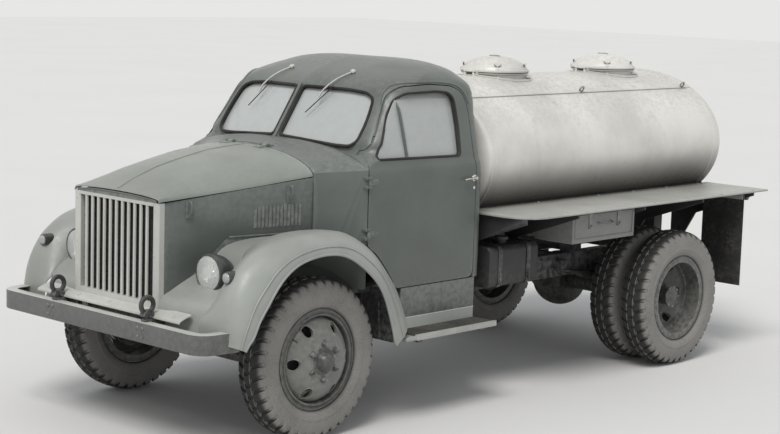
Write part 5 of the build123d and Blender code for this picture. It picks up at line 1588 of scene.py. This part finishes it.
def disc_piece(x, y, way, name):
    """The dished disc, its hand holes cut and their edges beaded.

    way is the side that its mounting face looks to.
    """
    disc = Form()
    disc.lathe([(way * u, r) for u, r in DISC], (x, y, WHEEL_Z), "Y", 72, closed=True)
    tool = Form()
    beads = Form()
    for turn in turns(HAND_HOLES):
        at = (x + HOLE_RADIUS * math.cos(turn), WHEEL_Z + HOLE_RADIUS * math.sin(turn))
        low, high = sorted((y + way * 0.065, y + way * 0.140))
        tool.tube([(at[0], low, at[1]), (at[0], high, at[1])], HOLE_SIZE, steps=24)
        bead = []
        for around in turns(28):
            away = (at[0] - x + HOLE_SIZE * math.cos(around), at[1] - WHEEL_Z + HOLE_SIZE * math.sin(around))
            reach = math.hypot(*away)
            depth = next(mix(u1, u0, (r1 - reach) / (r1 - r0)) if r1 > r0 else u0
                         for (u0, r0), (u1, r1) in zip(DISC[9:0:-1], DISC[8::-1]) if reach <= r1)
            bead.append((x + away[0], y + way * depth, WHEEL_Z + away[1]))
        beads.tube(bead, 0.0035, steps=6, closed=True)
    made = carve(disc.place(name), tool.place("tool"))
    return made, beads


def studs(form, x, face, way):
    for turn in turns(STUDS, 0.5):
        spot = (x + STUD_RADIUS * math.cos(turn), face, WHEEL_Z + STUD_RADIUS * math.sin(turn))
        form.nut(spot, (0, way, 0), 0.0165, 0.020)
        form.tube([spot, (spot[0], face + way * 0.030, spot[2])], 0.008, steps=10)
    return form


# Barrels and the recessed rear discs take the darker rim paint as painted shade; front discs keep wheel
# paint.
for side, label in SIDES:
    y = TRACKS["front", label]
    body = f"wheel_front_{label}"
    hand_over(barrel_form(0, y, side), f"rim_front_{label}_barrel", body, RIM_PAINT_SHADED, "wheel_paint",
              f"front_rim_{label}")
    made, beads = disc_piece(0, y, side, f"rim_front_{label}_disc")
    finish_piece(shade(made, 32), body, WHEEL_PAINT, "wheel_paint", f"front_rim_{label}")
    hand_over(beads, f"rim_front_{label}_beads", body, WHEEL_PAINT, "wheel_paint")
    hub = Form()
    face = y + side * DISC_FACE
    drum = [(0.058, 0.178), (0.058, 0.186), (0.070, 0.188), (0.122, 0.186), (0.136, 0.180), (0.136, 0.060)]
    shape = [(side * KINGPIN_Y + side * out - face, radius) for out, radius in drum]
    shape += [(-side * 0.030, 0.060), (-side * 0.030, 0.078), (side * 0.006, 0.078), (side * 0.009, 0.072),
              (side * 0.010, 0.060), (side * 0.020, 0.056), (side * 0.034, 0.050), (side * 0.046, 0.043),
              (side * 0.056, 0.030), (side * 0.061, 0.014), (side * 0.062, 0.0)]
    hub.lathe(shape, (0, face, WHEEL_Z), "Y", 48)
    for turn in turns(6):
        hub.rivet((0.066 * math.cos(turn), face + side * 0.0085, WHEEL_Z + 0.066 * math.sin(turn)),
                  (0, side, 0), 0.007)
    studs(hub, 0, face, side)
    hand_over(hub, f"hub_front_{label}", f"wheel_front_{label}", HUB_PAINT, "wheel_paint")
    valve = Form()
    valve.tube([(0.19, y + side * 0.060, WHEEL_Z + 0.14), (0.175, y + side * 0.105, WHEEL_Z + 0.13)],
               0.004, steps=8)
    hand_over(valve, f"valve_front_{label}", f"wheel_front_{label}", BRIGHT, "lamp_metal")

    y = TRACKS["rear", label]
    for way, name in ((-side, "outer"), (side, "inner")):
        centre = y + (side * TWIN_HALF if name == "outer" else -side * TWIN_HALF)
        body = f"wheel_rear_{label}"
        hand_over(barrel_form(REAR_AXLE, centre, way), f"rim_rear_{label}_{name}_barrel", body, RIM_PAINT_SHADED,
                  "wheel_paint", f"rear_rims_{label}")
        made, beads = disc_piece(REAR_AXLE, centre, way, f"rim_rear_{label}_{name}_disc")
        finish_piece(shade(made, 32), body, RIM_PAINT_SHADED, "wheel_paint", f"rear_rims_{label}")
        hand_over(beads, f"rim_rear_{label}_{name}_beads", body, RIM_PAINT_SHADED, "wheel_paint")
    hub = Form()
    cap = side * 0.150
    shape = [(-side * 0.185, 0.178), (-side * 0.185, 0.186), (-side * 0.160, 0.189), (-side * 0.085, 0.186),
             (-side * 0.072, 0.180), (-side * 0.072, 0.095), (-side * 0.060, 0.078), (side * 0.012, 0.078),
             (side * 0.018, 0.070), (side * 0.030, 0.060), (cap - side * 0.006, 0.060),
             (cap - side * 0.004, 0.072), (cap + side * 0.006, 0.073), (cap + side * 0.009, 0.064),
             (cap + side * 0.014, 0.052), (cap + side * 0.020, 0.034), (cap + side * 0.022, 0.0)]
    hub.lathe(shape, (REAR_AXLE, y, WHEEL_Z), "Y", 48)
    for turn in turns(8):
        hub.nut((REAR_AXLE + 0.064 * math.cos(turn), y + cap + side * 0.007,
                 WHEEL_Z + 0.064 * math.sin(turn)), (0, side, 0), 0.0075, 0.008)
    studs(hub, REAR_AXLE, y + side * 0.012, side)
    hand_over(hub, f"hub_rear_{label}", f"wheel_rear_{label}", HUB_PAINT, "wheel_paint")
print("wheels done")

# %% [markdown]
# ## Frame, axles and running gear
# These are folded channels, forgings and castings, and the solids already have their form. Modelling them
# again would only risk moving them. Each keeps its solid's shape with eased edges, and the rivets, nuts,
# straps and pipes that a solid leaves out are added as one mesh per body.

# %% Machined and folded pieces, edges eased
PLAIN_PIECES = [
    ("chassis_frame", "chassis", CHASSIS_BLACK, "chassis_black", 0.004),
    ("front_axle", "chassis", CHASSIS_BLACK, "chassis_black", 0.006),
    ("rear_axle", "chassis", CHASSIS_BLACK, "chassis_black", 0.006),
    ("leaf_springs", "chassis", CHASSIS_BLACK, "chassis_black", 0.002),
    ("radiator", "chassis", ENGINE_IRON, "engine_iron", 0.003),
    ("engine_block", "chassis", ENGINE_IRON, "engine_iron", 0.010),
    ("cab_floor", "chassis", CAB_PAINT, "cab_paint", 0.003),
    ("cab_cowl", "chassis", CAB_PAINT, "cab_paint", 0.002),
    ("running_boards", "chassis", WING_PAINT, "wing_paint", 0.004),
    ("fuel_tank", "chassis", CHASSIS_BLACK, "chassis_black", 0.006),
    ("tank_saddles", "chassis", CHASSIS_BLACK, "chassis_black", 0.004),
    ("side_shelves", "chassis", SHELF_PAINT, "tank_paint", 0.003),
    ("tool_box", "chassis", BOX_PAINT, "tank_paint", 0.006),
    ("mudflaps", "chassis", FLAP_RUBBER, "flap_rubber", 0.002),
    ("exhaust", "chassis", DULL_STEEL, "engine_iron", 0.002),
    ("knuckle_left", "knuckle_left", CHASSIS_BLACK, "chassis_black", 0.003),
    ("knuckle_right", "knuckle_right", CHASSIS_BLACK, "chassis_black", 0.003),
    ("tie_rod", "tie_rod", CHASSIS_BLACK, "chassis_black", 0.002),
]
for node, body, material, slot, width in PLAIN_PIECES:
    finish_piece(eased(f"{node}_eased", node, width), body, material, slot, node)

SHELF_UNDERSIDE = 1.1435
second_finish(bpy.data.objects["side_shelves_eased"], CHASSIS_BLACK,
            lambda face: face.center.z < SHELF_UNDERSIDE)

# %% Rivets, U-bolts and spring clips
RAIL_Y = 0.435
RAIL_END = -4.10
gear = Form()
for side in (1, -1):
    for index in range(28):
        x = 0.560 - index * 0.172
        if x > RAIL_END:
            for z in (0.722, 0.612):
                gear.rivet((x, side * (RAIL_Y + 0.0005), z), (0, side, 0), 0.009)
    for x, pad, spring_y, width, drop in ((0.0, 0.432, 0.4025, 0.036, 0.10),
                                          (REAR_AXLE, 0.526, 0.477, 0.036, 0.15)):
        for along in (-0.072, 0.072):
            arch = []
            top = pad + 0.085 if x == 0.0 else pad + 0.100
            for step in range(9):
                turn = math.pi * step / 8
                arch.append((x + along, side * spring_y + width * math.cos(turn),
                             top + 0.012 * math.sin(turn)))
            near, far = [(x + along, side * spring_y + across, pad - drop) for across in (width, -width)]
            gear.tube([near, *arch, far], 0.0085, steps=8)
            for across in (width, -width):
                gear.nut((x + along, side * spring_y + across, pad - drop + 0.004), (0, 0, -1), 0.014, 0.014)
        gear.block(about(x, 0.095), about(side * spring_y, 0.055),
                   (pad - drop + 0.004, pad - drop + 0.016), 0.003)
fix(gear, "frame_fittings", CHASSIS_BLACK, "chassis_black")
print("frame done")

# %% [markdown]
# ## Deck fittings
# The boards, boxes and flaps are plain folded sheets, and what makes them real is what is fixed to them: a
# ribbed mat, a bright edge strip, straps, hasps, bolted clamp bars. These are small repeats, so each kind
# is one mesh per finish, laid out by loops from the solids' own measures.

# %% Board mats and edge strips
def span(side, near, far):
    return tuple(sorted((side * near, side * far)))


BOARD_FRONT, BOARD_BACK = -0.700, -1.408
mats = Form()
strips = Form()
for side in (1, -1):
    mats.block((BOARD_BACK, BOARD_FRONT), span(side, 0.800, 0.962), (0.5205, 0.5228), 0.001)
    for index in range(11):
        y = 0.809 + index * 0.0145
        mats.block((BOARD_BACK + 0.004, BOARD_FRONT - 0.004), span(side, y - 0.0036, y + 0.0036),
                   (0.5222, 0.5275), 0.0015)
    strips.block((-1.4155, BOARD_FRONT), span(side, 0.966, 0.9865), (0.4970, 0.5285), 0.003)
    strips.tube([(-1.4155, side * 0.789, 0.587), (-0.790, side * 0.789, 0.587)], 0.0055, steps=8)
    for x in (-0.80, -1.05, -1.30):
        strips.rivet((x, side * 0.9865, 0.512), (0, side, 0), 0.006)
fix(mats, "board_mats", BOARD_RUBBER, "board_rubber")
fix(strips, "board_edges", SHELF_PAINT, "tank_paint")

# %% Fuel tank straps, tool box hasps and flap clamps
def band(form, outline, x0, x1, thick):
    """A flat strap round an outline of (y, z) points."""
    middle = Vector((0, sum(p.y for p in outline) / len(outline), sum(p.z for p in outline) / len(outline)))
    rows = []
    for x, proud in ((x0, 0.0), (x0, thick), (x1, thick), (x1, 0.0)):
        rows.append([Vector((x, p.y, p.z)) + (Vector((0, p.y, p.z)) - middle).normalized() * proud
                     for p in outline])
    form.grid(rows, around=True)


tank_outline = rounded([(0, 0.435, 0.670), (0, 0.761, 0.670), (0, 0.761, 0.931), (0, 0.435, 0.931)], 0.04, 6)
fuel = Form()
for x in (-1.700, -1.980):
    band(fuel, tank_outline, x - 0.019, x + 0.019, 0.004)
    fuel.tube([(x, 0.768, 0.700), (x, 0.768, 0.760)], 0.007, steps=10)
    fuel.nut((x, 0.768, 0.700), (0, 0, -1), 0.012, 0.012)
filler = (-1.840, 0.640, 0.930)
fuel.lathe([(-0.003, 0.040), (0.022, 0.038), (0.024, 0.050), (0.040, 0.050), (0.046, 0.040), (0.047, 0.0)],
           filler, "Z", 28)
fuel.block((-1.870, -1.810), (0.634, 0.646), (0.974, 0.986), 0.003)
fuel.nut((-1.840, 0.600, 0.670), (0, 0, -1), 0.018, 0.012)
fuel.tube(through([(-1.640, 0.500, 0.928), (-1.600, 0.470, 0.950), (-1.560, 0.440, 0.900),
                   (-1.40, 0.425, 0.760)], 16), 0.006, steps=8)
fix(fuel, "fuel_tank_fittings", CHASSIS_BLACK, "chassis_black")

box = Form()
BOX_FACE = 1.0005
frame_line = [(x, BOX_FACE, z) for x, z in ((-2.760, 0.962), (-2.145, 0.962), (-2.145, 1.112),
                                            (-2.760, 1.112))]
box.tube(rounded([Vector(p) for p in frame_line], 0.02, 4), 0.0045, steps=8, closed=True)
for x in (-2.300, -2.605):
    box.block(about(x, 0.016), (0.998, 1.006), (1.020, 1.118), 0.002)
    box.tube([(x, 1.008, 1.046), (x, 1.019, 1.040), (x, 1.008, 1.032)], 0.0035, steps=8)
    box.block(about(x, 0.010), (1.006, 1.013), (1.022, 1.034), 0.002)
box.tube(through([(-2.520, 1.000, 1.060), (-2.515, 1.026, 1.050), (-2.452, 1.030, 1.048),
                  (-2.390, 1.026, 1.050), (-2.385, 1.000, 1.060)], 18), 0.005, steps=8)
fix(box, "tool_box_fittings", BOX_PAINT, "tank_paint")

clamps = Form()
for side in (1, -1):
    for x0, x1 in ((-4.0445, -4.0385), (-4.0615, -4.0555)):
        clamps.block((x0, x1), span(side, 0.705, 1.035), (1.088, 1.130), 0.001)
    for y in (0.735, 0.870, 1.005):
        clamps.rivet((-4.0385, side * y, 1.109), (1, 0, 0), 0.009)
        clamps.rivet((-4.0615, side * y, 1.109), (-1, 0, 0), 0.009)
    for x in (-1.62, -2.25, -2.90, -3.30, -3.70, -4.10):
        clamps.rivet((x, side * 1.080, 1.1542), (0, 0, 1), 0.010)
        clamps.rivet((x, side * 0.610, 1.1542), (0, 0, 1), 0.010)
    clamps.tube([(-1.75, side * 1.0985, 1.1505), (-4.255, side * 1.0985, 1.1505)], 0.006, steps=8)
fix(clamps, "flap_clamps", SHELF_PAINT, "tank_paint")

# A black strip where the tank sits on each shelf: a rubber seal that also stands as painted shade there.
seals = Form()
for side in (1, -1):
    seals.tube([(-1.665, side * 0.571, 1.1500), (-4.195, side * 0.571, 1.1500)], 0.013, steps=12)
fix(seals, "shelf_seals_and_shade", SEAL_RUBBER, "flap_rubber")

# %% Tail lamps
for side, label in SIDES:
    case = Form()
    case.block((-4.236, -4.210), span(side, 0.840, 0.960), (1.064, 1.1415), 0.006)
    case.block((-4.240, -4.234), span(side, 0.843, 0.957), (1.067, 1.138), 0.002)
    fix(case, f"tail_lamp_{label}_case", LAMP_PAINT_AND_SHADE, "lamp_metal", "tail_lamps")
    lens = Form()
    lens.block((-4.259, -4.238), span(side, 0.848, 0.952), (1.072, 1.133), 0.008)
    for index in range(8):
        y = 0.857 + index * 0.0125
        lens.tube([(-4.2590, side * y, 1.080), (-4.2590, side * y, 1.125)], 0.0016, steps=6)
    fix(lens, f"tail_lamp_{label}_lens", RED_GLASS, "lamp_red", "tail_lamps")

# %% Lifting eyes, bleed cocks and the outlet at the tank's back
fittings = Form()
for side in (1, -1):
    for x in (-1.705, -2.880, -4.080):
        turn = SEAM_ANGLE if side > 0 else math.pi - SEAM_ANGLE
        foot = Vector((x, TANK_HALF * math.cos(turn), TANK_MIDDLE_Z + TANK_RISE * math.sin(turn)))
        out = Vector((0, math.cos(turn) / TANK_HALF, math.sin(turn) / TANK_RISE)).normalized()
        centre = foot + out * 0.026
        ring = [centre + Vector((1, 0, 0)) * 0.019 * math.cos(a) + out * 0.019 * math.sin(a)
                for a in turns(20)]
        fittings.tube(ring, 0.006, steps=8, closed=True)
        fittings.tube([foot - out * 0.004, foot + out * 0.010], 0.012, steps=10)
outlet = [(-4.120, 0, 0.975), (-4.170, 0, 0.930), (-4.235, 0, 0.905), (-4.320, 0, 0.900)]
fittings.tube(through(outlet, 14), 0.032, steps=20)
for x in (-4.245, -4.258, -4.322):
    fittings.lathe([(0.0, 0.030), (0.0, 0.058), (0.009, 0.058), (0.009, 0.030)], (x, 0, 0.902), "X", 28)
fittings.tube([(-4.285, 0, 0.930), (-4.285, 0, 0.990)], 0.010, steps=10)
fittings.tube([(-4.285, -0.050, 0.990), (-4.285, 0.050, 0.990)], 0.0075, steps=10)
fix(fittings, "tank_fittings", DULL_STEEL, "tank_paint")
print("deck done")

# %% [markdown]
# ## Inside the cab
# The bench is the only soft thing on the lorry. It is stuffed by the solver: a slightly small block is
# remeshed, blown up a little with its travel capped, then sewn channels are pressed into it. The wheel,
# levers, pedals and dials are bars and turned shapes.

# %% Bench cushion and back
PUFF_FORCE = 4.0
PUFF_FRAMES = 20


def stuffed(made, voxel=0.016, cap=0.014):
    weave = made.modifiers.new("weave", "REMESH")
    weave.mode = "VOXEL"
    weave.voxel_size = voxel
    settle(made)
    start = [v.co.copy() for v in made.data.vertices]
    cloth = made.modifiers.new("stuffing", "CLOTH")
    cloth.settings.use_pressure = True
    cloth.settings.uniform_pressure_force = PUFF_FORCE
    cloth.settings.effector_weights.gravity = 0.0
    cloth.point_cache.frame_start = 1
    cloth.point_cache.frame_end = PUFF_FRAMES
    for frame_number in range(1, PUFF_FRAMES + 1):
        bpy.context.scene.frame_set(frame_number)
    settle(made)
    bpy.context.scene.frame_set(1)
    for vertex, before in zip(made.data.vertices, start):
        moved = vertex.co - before
        if moved.length > cap:
            vertex.co = before + moved * (cap / moved.length)
    smooth = made.modifiers.new("smooth", "SUBSURF")
    smooth.levels = 1
    smooth.render_levels = 1
    return settle(made)


CHANNEL_PITCH = 0.155
PAD_HALF = 0.606


def sewn(made, facing, depth=0.009, width=0.010):
    """Press sewn channels into the side of a pad that looks along a direction."""
    facing = Vector(facing)
    slopes = [vertex.normal.dot(facing) for vertex in made.data.vertices]
    for vertex, slope in zip(made.data.vertices, slopes):
        away = abs((vertex.co.y + CHANNEL_PITCH / 2) % CHANNEL_PITCH - CHANNEL_PITCH / 2)
        vertex.co -= facing * depth * max(0.0, slope) * math.exp(-(away / width) ** 2)
    return made


def pad(name, outline):
    form = Form()
    form.slab(upright(outline, -PAD_HALF), (0, 2 * PAD_HALF, 0), 0.022)
    return form.place(name)


CUSHION = [(-1.346, 1.014), (-0.894, 1.014), (-0.894, 1.132), (-1.346, 1.142)]
BACKREST = [(-1.462, 1.160), (-1.384, 1.160), (-1.448, 1.622), (-1.464, 1.622)]
cushion = sewn(stuffed(pad("seat_cushion", CUSHION)), (0, 0, 1))
back = sewn(stuffed(pad("seat_back", BACKREST), 0.014, 0.010), (1, 0, 0.14))
for made, tightness in ((cushion, 0.8), (back, 0.85)):
    finish_piece(shade(made, 60), "chassis", SEAT_LEATHER, "seat_cloth", "seat")
    print(made.name, len(made.data.polygons), "faces")
bench = Form()
bench.block((-1.352, -0.884), (-0.616, 0.616), (1.001, 1.016), 0.004)
bench.slab([(-1.4740, -0.616, 1.012), (-1.4740, 0.616, 1.012), (-1.4740, 0.616, 1.636),
            (-1.4740, -0.616, 1.636)], (0.007, 0, 0), 0.002)
fix(bench, "seat_boards", CAB_INSIDE, "cab_paint", "seat")

# %% Steering wheel and column
HUB = Vector((-0.880, 0.350, 1.400))
HAND_RADIUS = 0.210
ACROSS = Vector((0, 1, 0))
UPWARD = Vector((1, 0, 1)).normalized()
TOWARD = Vector((-1, 0, 1)).normalized()
hand_wheel = Form()
rim_line = [HUB + ACROSS * HAND_RADIUS * math.cos(a) + UPWARD * HAND_RADIUS * math.sin(a)
            for a in turns(60)]
hand_wheel.tube(rim_line, 0.0135, steps=12, closed=True)
for turn in (math.radians(90), math.radians(210), math.radians(330)):
    out = ACROSS * math.cos(turn) + UPWARD * math.sin(turn)
    hand_wheel.tube([HUB + out * 0.030, HUB + out * 0.120 - TOWARD * 0.004, HUB + out * 0.205], 0.0085,
                    steps=10, flat=0.6)
hand_wheel.tube([HUB - TOWARD * 0.024, HUB + TOWARD * 0.014], 0.040, steps=28)
hand_wheel.tube([HUB + TOWARD * 0.012, HUB + TOWARD * 0.020], 0.024, steps=24)
fix(hand_wheel, "steering_wheel_rim", WHEEL_PLASTIC, "black_plastic", "steering_wheel")
column = Form()
column.tube([(-0.2942, 0.350, 0.8142), HUB - TOWARD * 0.022], 0.022, steps=20)
column.tube([HUB - TOWARD * 0.330, HUB - TOWARD * 0.295], 0.031, steps=20)
column.tube([HUB - TOWARD * 0.310, (-0.600, 0.350, 1.405)], 0.010, steps=10)
fix(column, "steering_column", CHASSIS_BLACK, "black_plastic", "steering_wheel")

# %% Dials, pedals and levers
DASH_BACK = -0.616
DIAL_Z = 1.478
DIALS = ((0.240, 0.036), (0.350, 0.052), (0.460, 0.036), (-0.020, 0.030))
dials = Form()
for y, size in DIALS:
    at = (DASH_BACK + 0.014, y, DIAL_Z)
    dials.lathe([(0.004, size), (-0.012, size), (-0.017, size - 0.003), (-0.015, size - 0.008),
                 (-0.011, size - 0.009)], at, "X", 32)
    dials.tube([(at[0] - 0.012, y, DIAL_Z), (at[0] - 0.012, y + size * 0.4, DIAL_Z + size * 0.45)],
               0.0014, steps=6)
for y in (0.08, 0.13, -0.08, -0.13):
    dials.lathe([(0.006, 0.006), (-0.016, 0.006), (-0.018, 0.012), (-0.026, 0.011), (-0.028, 0.0)],
                (DASH_BACK + 0.010, y, 1.450), "X", 14)
dials.slab([(-0.6165, -0.470, 1.450), (-0.6165, -0.200, 1.450), (-0.6165, -0.200, 1.530),
            (-0.6165, -0.470, 1.530)], (0.006, 0, 0), 0.003)
fix(dials, "dials", BRIGHT, "lamp_metal")
faces = Form()
for y, size in DIALS:
    faces.lathe([(0.0, size - 0.006), (-0.002, size - 0.007), (-0.003, 0.0)],
                (DASH_BACK + 0.006, y, DIAL_Z), "X", 28)
fix(faces, "dial_faces", WHEEL_PLASTIC, "black_plastic")
controls = Form()
for y, reach in ((0.235, 0.0), (0.350, 0.0), (0.470, 0.012)):
    controls.tube([(-0.470, y, 1.060), (-0.520, y, 0.960), (-0.548, y, 0.915 + reach)], 0.0075, steps=8)
    controls.slab([(-0.540, y - 0.028, 0.875), (-0.540, y + 0.028, 0.875), (-0.560, y + 0.028, 0.935),
                   (-0.560, y - 0.028, 0.935)], (-0.006, 0, -0.002), 0.002)
lever = through([(-0.780, 0.0, 0.790), (-0.800, 0.004, 0.900), (-0.860, 0.010, 1.060),
                 (-0.900, 0.010, 1.180)], 18)
controls.tube(lever, 0.0085, steps=10)
controls.lathe([(0.0, 0.030), (0.020, 0.036), (0.060, 0.020), (0.085, 0.012)], (-0.780, 0.0, 0.786), "Z", 20)
controls.tube(through([(-0.740, -0.090, 0.790), (-0.770, -0.092, 0.950), (-0.830, -0.095, 1.060)], 12),
              0.008, steps=8)
fix(controls, "pedals_and_levers", CHASSIS_BLACK, "black_plastic")
knob = Form()
knob.lathe([(-0.004, 0.0), (0.0, 0.010), (0.008, 0.019), (0.020, 0.023), (0.032, 0.018), (0.041, 0.0)],
           (-0.900, 0.010, 1.176), "Z", 20)
fix(knob, "lever_knob", WHEEL_PLASTIC, "black_plastic")

# %% [markdown]
# ## Under the bonnet
# With the bonnet up the engine shows, so the plain block gets what the eye expects on it: a head with its
# plugs, a fan and pulleys, an air cleaner, hoses and the radiator's fins and cap.

# %% Engine dress and radiator
FAN_Z = 0.980
engine = Form()
engine.block((-0.190, 0.445), (-0.120, 0.120), (1.228, 1.262), 0.010)
for index in range(6):
    x = 0.400 - index * 0.108
    engine.lathe([(0.0, 0.013), (0.012, 0.013), (0.014, 0.008), (0.045, 0.008), (0.050, 0.004),
                  (0.058, 0.004)], (x, 0.030, 1.260), "Z", 12)
    engine.nut((x + 0.054, 0.100, 1.260), (0, 0, 1), 0.011, 0.010)
    engine.nut((x + 0.054, -0.100, 1.260), (0, 0, 1), 0.011, 0.010)
    engine.tube(through([(x, -0.165, 1.120), (x, -0.215, 1.135), (x, -0.230, 1.090)], 8), 0.022, steps=12)
engine.tube([(-0.170, -0.232, 1.085), (0.425, -0.232, 1.085)], 0.032, steps=16)
engine.lathe([(0.0, 0.030), (0.016, 0.034), (0.016, 0.150), (0.022, 0.160), (0.030, 0.150), (0.040, 0.034)],
             (0.474, 0.0, FAN_Z), "X", 36)
for index in range(4):
    turn = math.pi / 2 * index + 0.4
    out = Vector((0, math.cos(turn), math.sin(turn)))
    wide = Vector((0, -math.sin(turn), math.cos(turn)))
    at = Vector((0.540, 0.0, FAN_Z))
    blade = [at + out * 0.030 - wide * 0.024, at + out * 0.210 - wide * 0.048, at + out * 0.225,
             at + out * 0.205 + wide * 0.048, at + out * 0.030 + wide * 0.024]
    engine.slab([p + Vector((0.016 * wide.dot(p - at) / 0.048, 0, 0)) for p in blade], (0.003, 0, 0))
engine.tube([(0.500, 0, FAN_Z), (0.556, 0, FAN_Z)], 0.034, steps=20)
fix(engine, "engine_dress", ENGINE_IRON, "engine_iron")
cleaner = Form()
cleaner.lathe([(0.0, 0.0), (0.0, 0.100), (0.012, 0.108), (0.050, 0.108), (0.058, 0.100), (0.070, 0.100),
               (0.082, 0.088), (0.088, 0.030), (0.100, 0.016), (0.102, 0.0)],
              (0.080, -0.250, 1.215), "Z", 40)
cleaner.tube([(0.080, -0.250, 1.150), (0.080, -0.250, 1.220)], 0.034, steps=20)
cleaner.tube(through([(0.420, 0.0, 1.250), (0.470, 0.0, 1.310), (0.540, 0.0, 1.318), (0.612, 0.0, 1.290)],
                     14), 0.026, 16)
fix(cleaner, "air_cleaner", SEAL_RUBBER, "black_plastic")
cooler = Form()
cooler.block((0.594, 0.676), (-0.306, 0.306), (1.255, 1.306), 0.014)
cooler.block((0.594, 0.676), (-0.306, 0.306), (0.752, 0.800), 0.012)
for index in range(23):
    z = 0.812 + index * 0.0195
    cooler.block((0.597, 0.673), (-0.296, 0.296), (z, z + 0.003), 0)
cooler.lathe([(0.0, 0.024), (0.018, 0.024), (0.020, 0.034), (0.032, 0.034), (0.036, 0.024), (0.037, 0.0)],
             (0.632, 0.0, 1.303), "Z", 24)
fix(cooler, "radiator_dress", CHASSIS_BLACK, "chassis_black")
print("inside done")

# %% Solids that no piece stands for
print("left as solids:", [node for node, kept in frame["nodes"].items() if not kept.hide_render])

# %% [markdown]
# ## The studio
# The lorry stands on a plain pale floor under one broad lamp and an even sky, so that paint shows its own
# colour. The camera is where the photographer stood: about ten metres from the front axle, ahead of it and
# to its left, above eye height and looking slightly down. Its place was worked out from the wheels and the
# wheelbase.

# %% Floor, light and camera
CAMERA_PLACE = Vector((8.58415, 7.83626, 2.63481))
CAMERA_TURN = math.radians(133.2435)
CAMERA_DOWN = math.radians(7.9048)
CAMERA_ROLL = math.radians(1.7439)
FOCAL_PIXELS = 1782.9
IMAGE_WIDTH = 780
SENSOR = 36.0


def add_camera():
    level = math.cos(CAMERA_DOWN)
    back = Vector((math.sin(CAMERA_TURN) * level, -math.cos(CAMERA_TURN) * level, math.sin(CAMERA_DOWN)))
    right = (-back).cross(Vector((0, 0, 1))).normalized()
    up = right.cross(-back)
    rolled_right = right * math.cos(CAMERA_ROLL) + up * math.sin(CAMERA_ROLL)
    rolled_up = up * math.cos(CAMERA_ROLL) - right * math.sin(CAMERA_ROLL)
    data = bpy.data.cameras.new("camera")
    data.sensor_width = SENSOR
    data.lens = FOCAL_PIXELS / IMAGE_WIDTH * SENSOR
    data.clip_end = 200.0
    made = link_new("camera", data)
    turn = Matrix((rolled_right, rolled_up, back)).transposed().to_4x4()
    made.matrix_world = Matrix.Translation(CAMERA_PLACE) @ turn
    bpy.context.scene.camera = made
    return made


PALE = 0.80
FLOOR_REACH = 60.0


def add_floor():
    data = bpy.data.meshes.new("floor")
    corners = [(x * FLOOR_REACH, y * FLOOR_REACH, 0) for x, y in ((-1, -1), (1, -1), (1, 1), (-1, 1))]
    data.from_pydata(corners, [], [(0, 1, 2, 3)])
    made = link_new("floor", data)
    finish = Finish("studio_floor", Roughness=0.9, Specular_IOR_Level=0.1)
    patches = finish.clouds(0.35, 2.0)
    worn = finish.blend(colour(0.685, 0.68, 0.668), colour(0.705, 0.70, 0.688),
                        finish.between(patches, 0.2, 0.8))
    data.materials.append(finish.feed(Base_Color=worn))
    return made


def add_world():
    world = bpy.data.worlds.new("studio_sky")
    world.use_nodes = True
    tree = world.node_tree
    tree.nodes.clear()
    path = add_node(tree, "ShaderNodeLightPath")
    glossy = Tone(tree, path.socket.node.outputs["Is Glossy Ray"])
    through_glass = Tone(tree, path.socket.node.outputs["Is Transmission Ray"])
    seen = add_node(tree, "ShaderNodeMath", {"operation": "MAXIMUM"}, {0: path, 1: glossy})
    shown = add_node(tree, "ShaderNodeMath", {"operation": "MAXIMUM"}, {0: seen, 1: through_glass})
    even = add_node(tree, "ShaderNodeBackground", {}, {"Color": colour(0.95, 0.97, 1.0), "Strength": 0.62})
    pale = add_node(tree, "ShaderNodeBackground", {},
                    {"Color": colour(PALE, PALE, PALE * 0.985), "Strength": 1.0})
    both = add_node(tree, "ShaderNodeMixShader", {}, {0: shown, 1: even, 2: pale})
    end = tree.nodes.new("ShaderNodeOutputWorld")
    tree.links.new(both.socket, end.inputs[0])
    bpy.context.scene.world = world


def add_sun():
    data = bpy.data.lights.new("broad_lamp", "SUN")
    data.energy = 1.9
    data.angle = math.radians(24)
    data.color = (1.0, 0.985, 0.955)
    made = link_new("broad_lamp", data)
    made.rotation_euler = Vector((0.62, 0.30, 1.0)).to_track_quat("Z", "Y").to_euler()


add_camera()
add_floor()
add_world()
add_sun()
bpy.context.scene.view_settings.view_transform = "Standard"
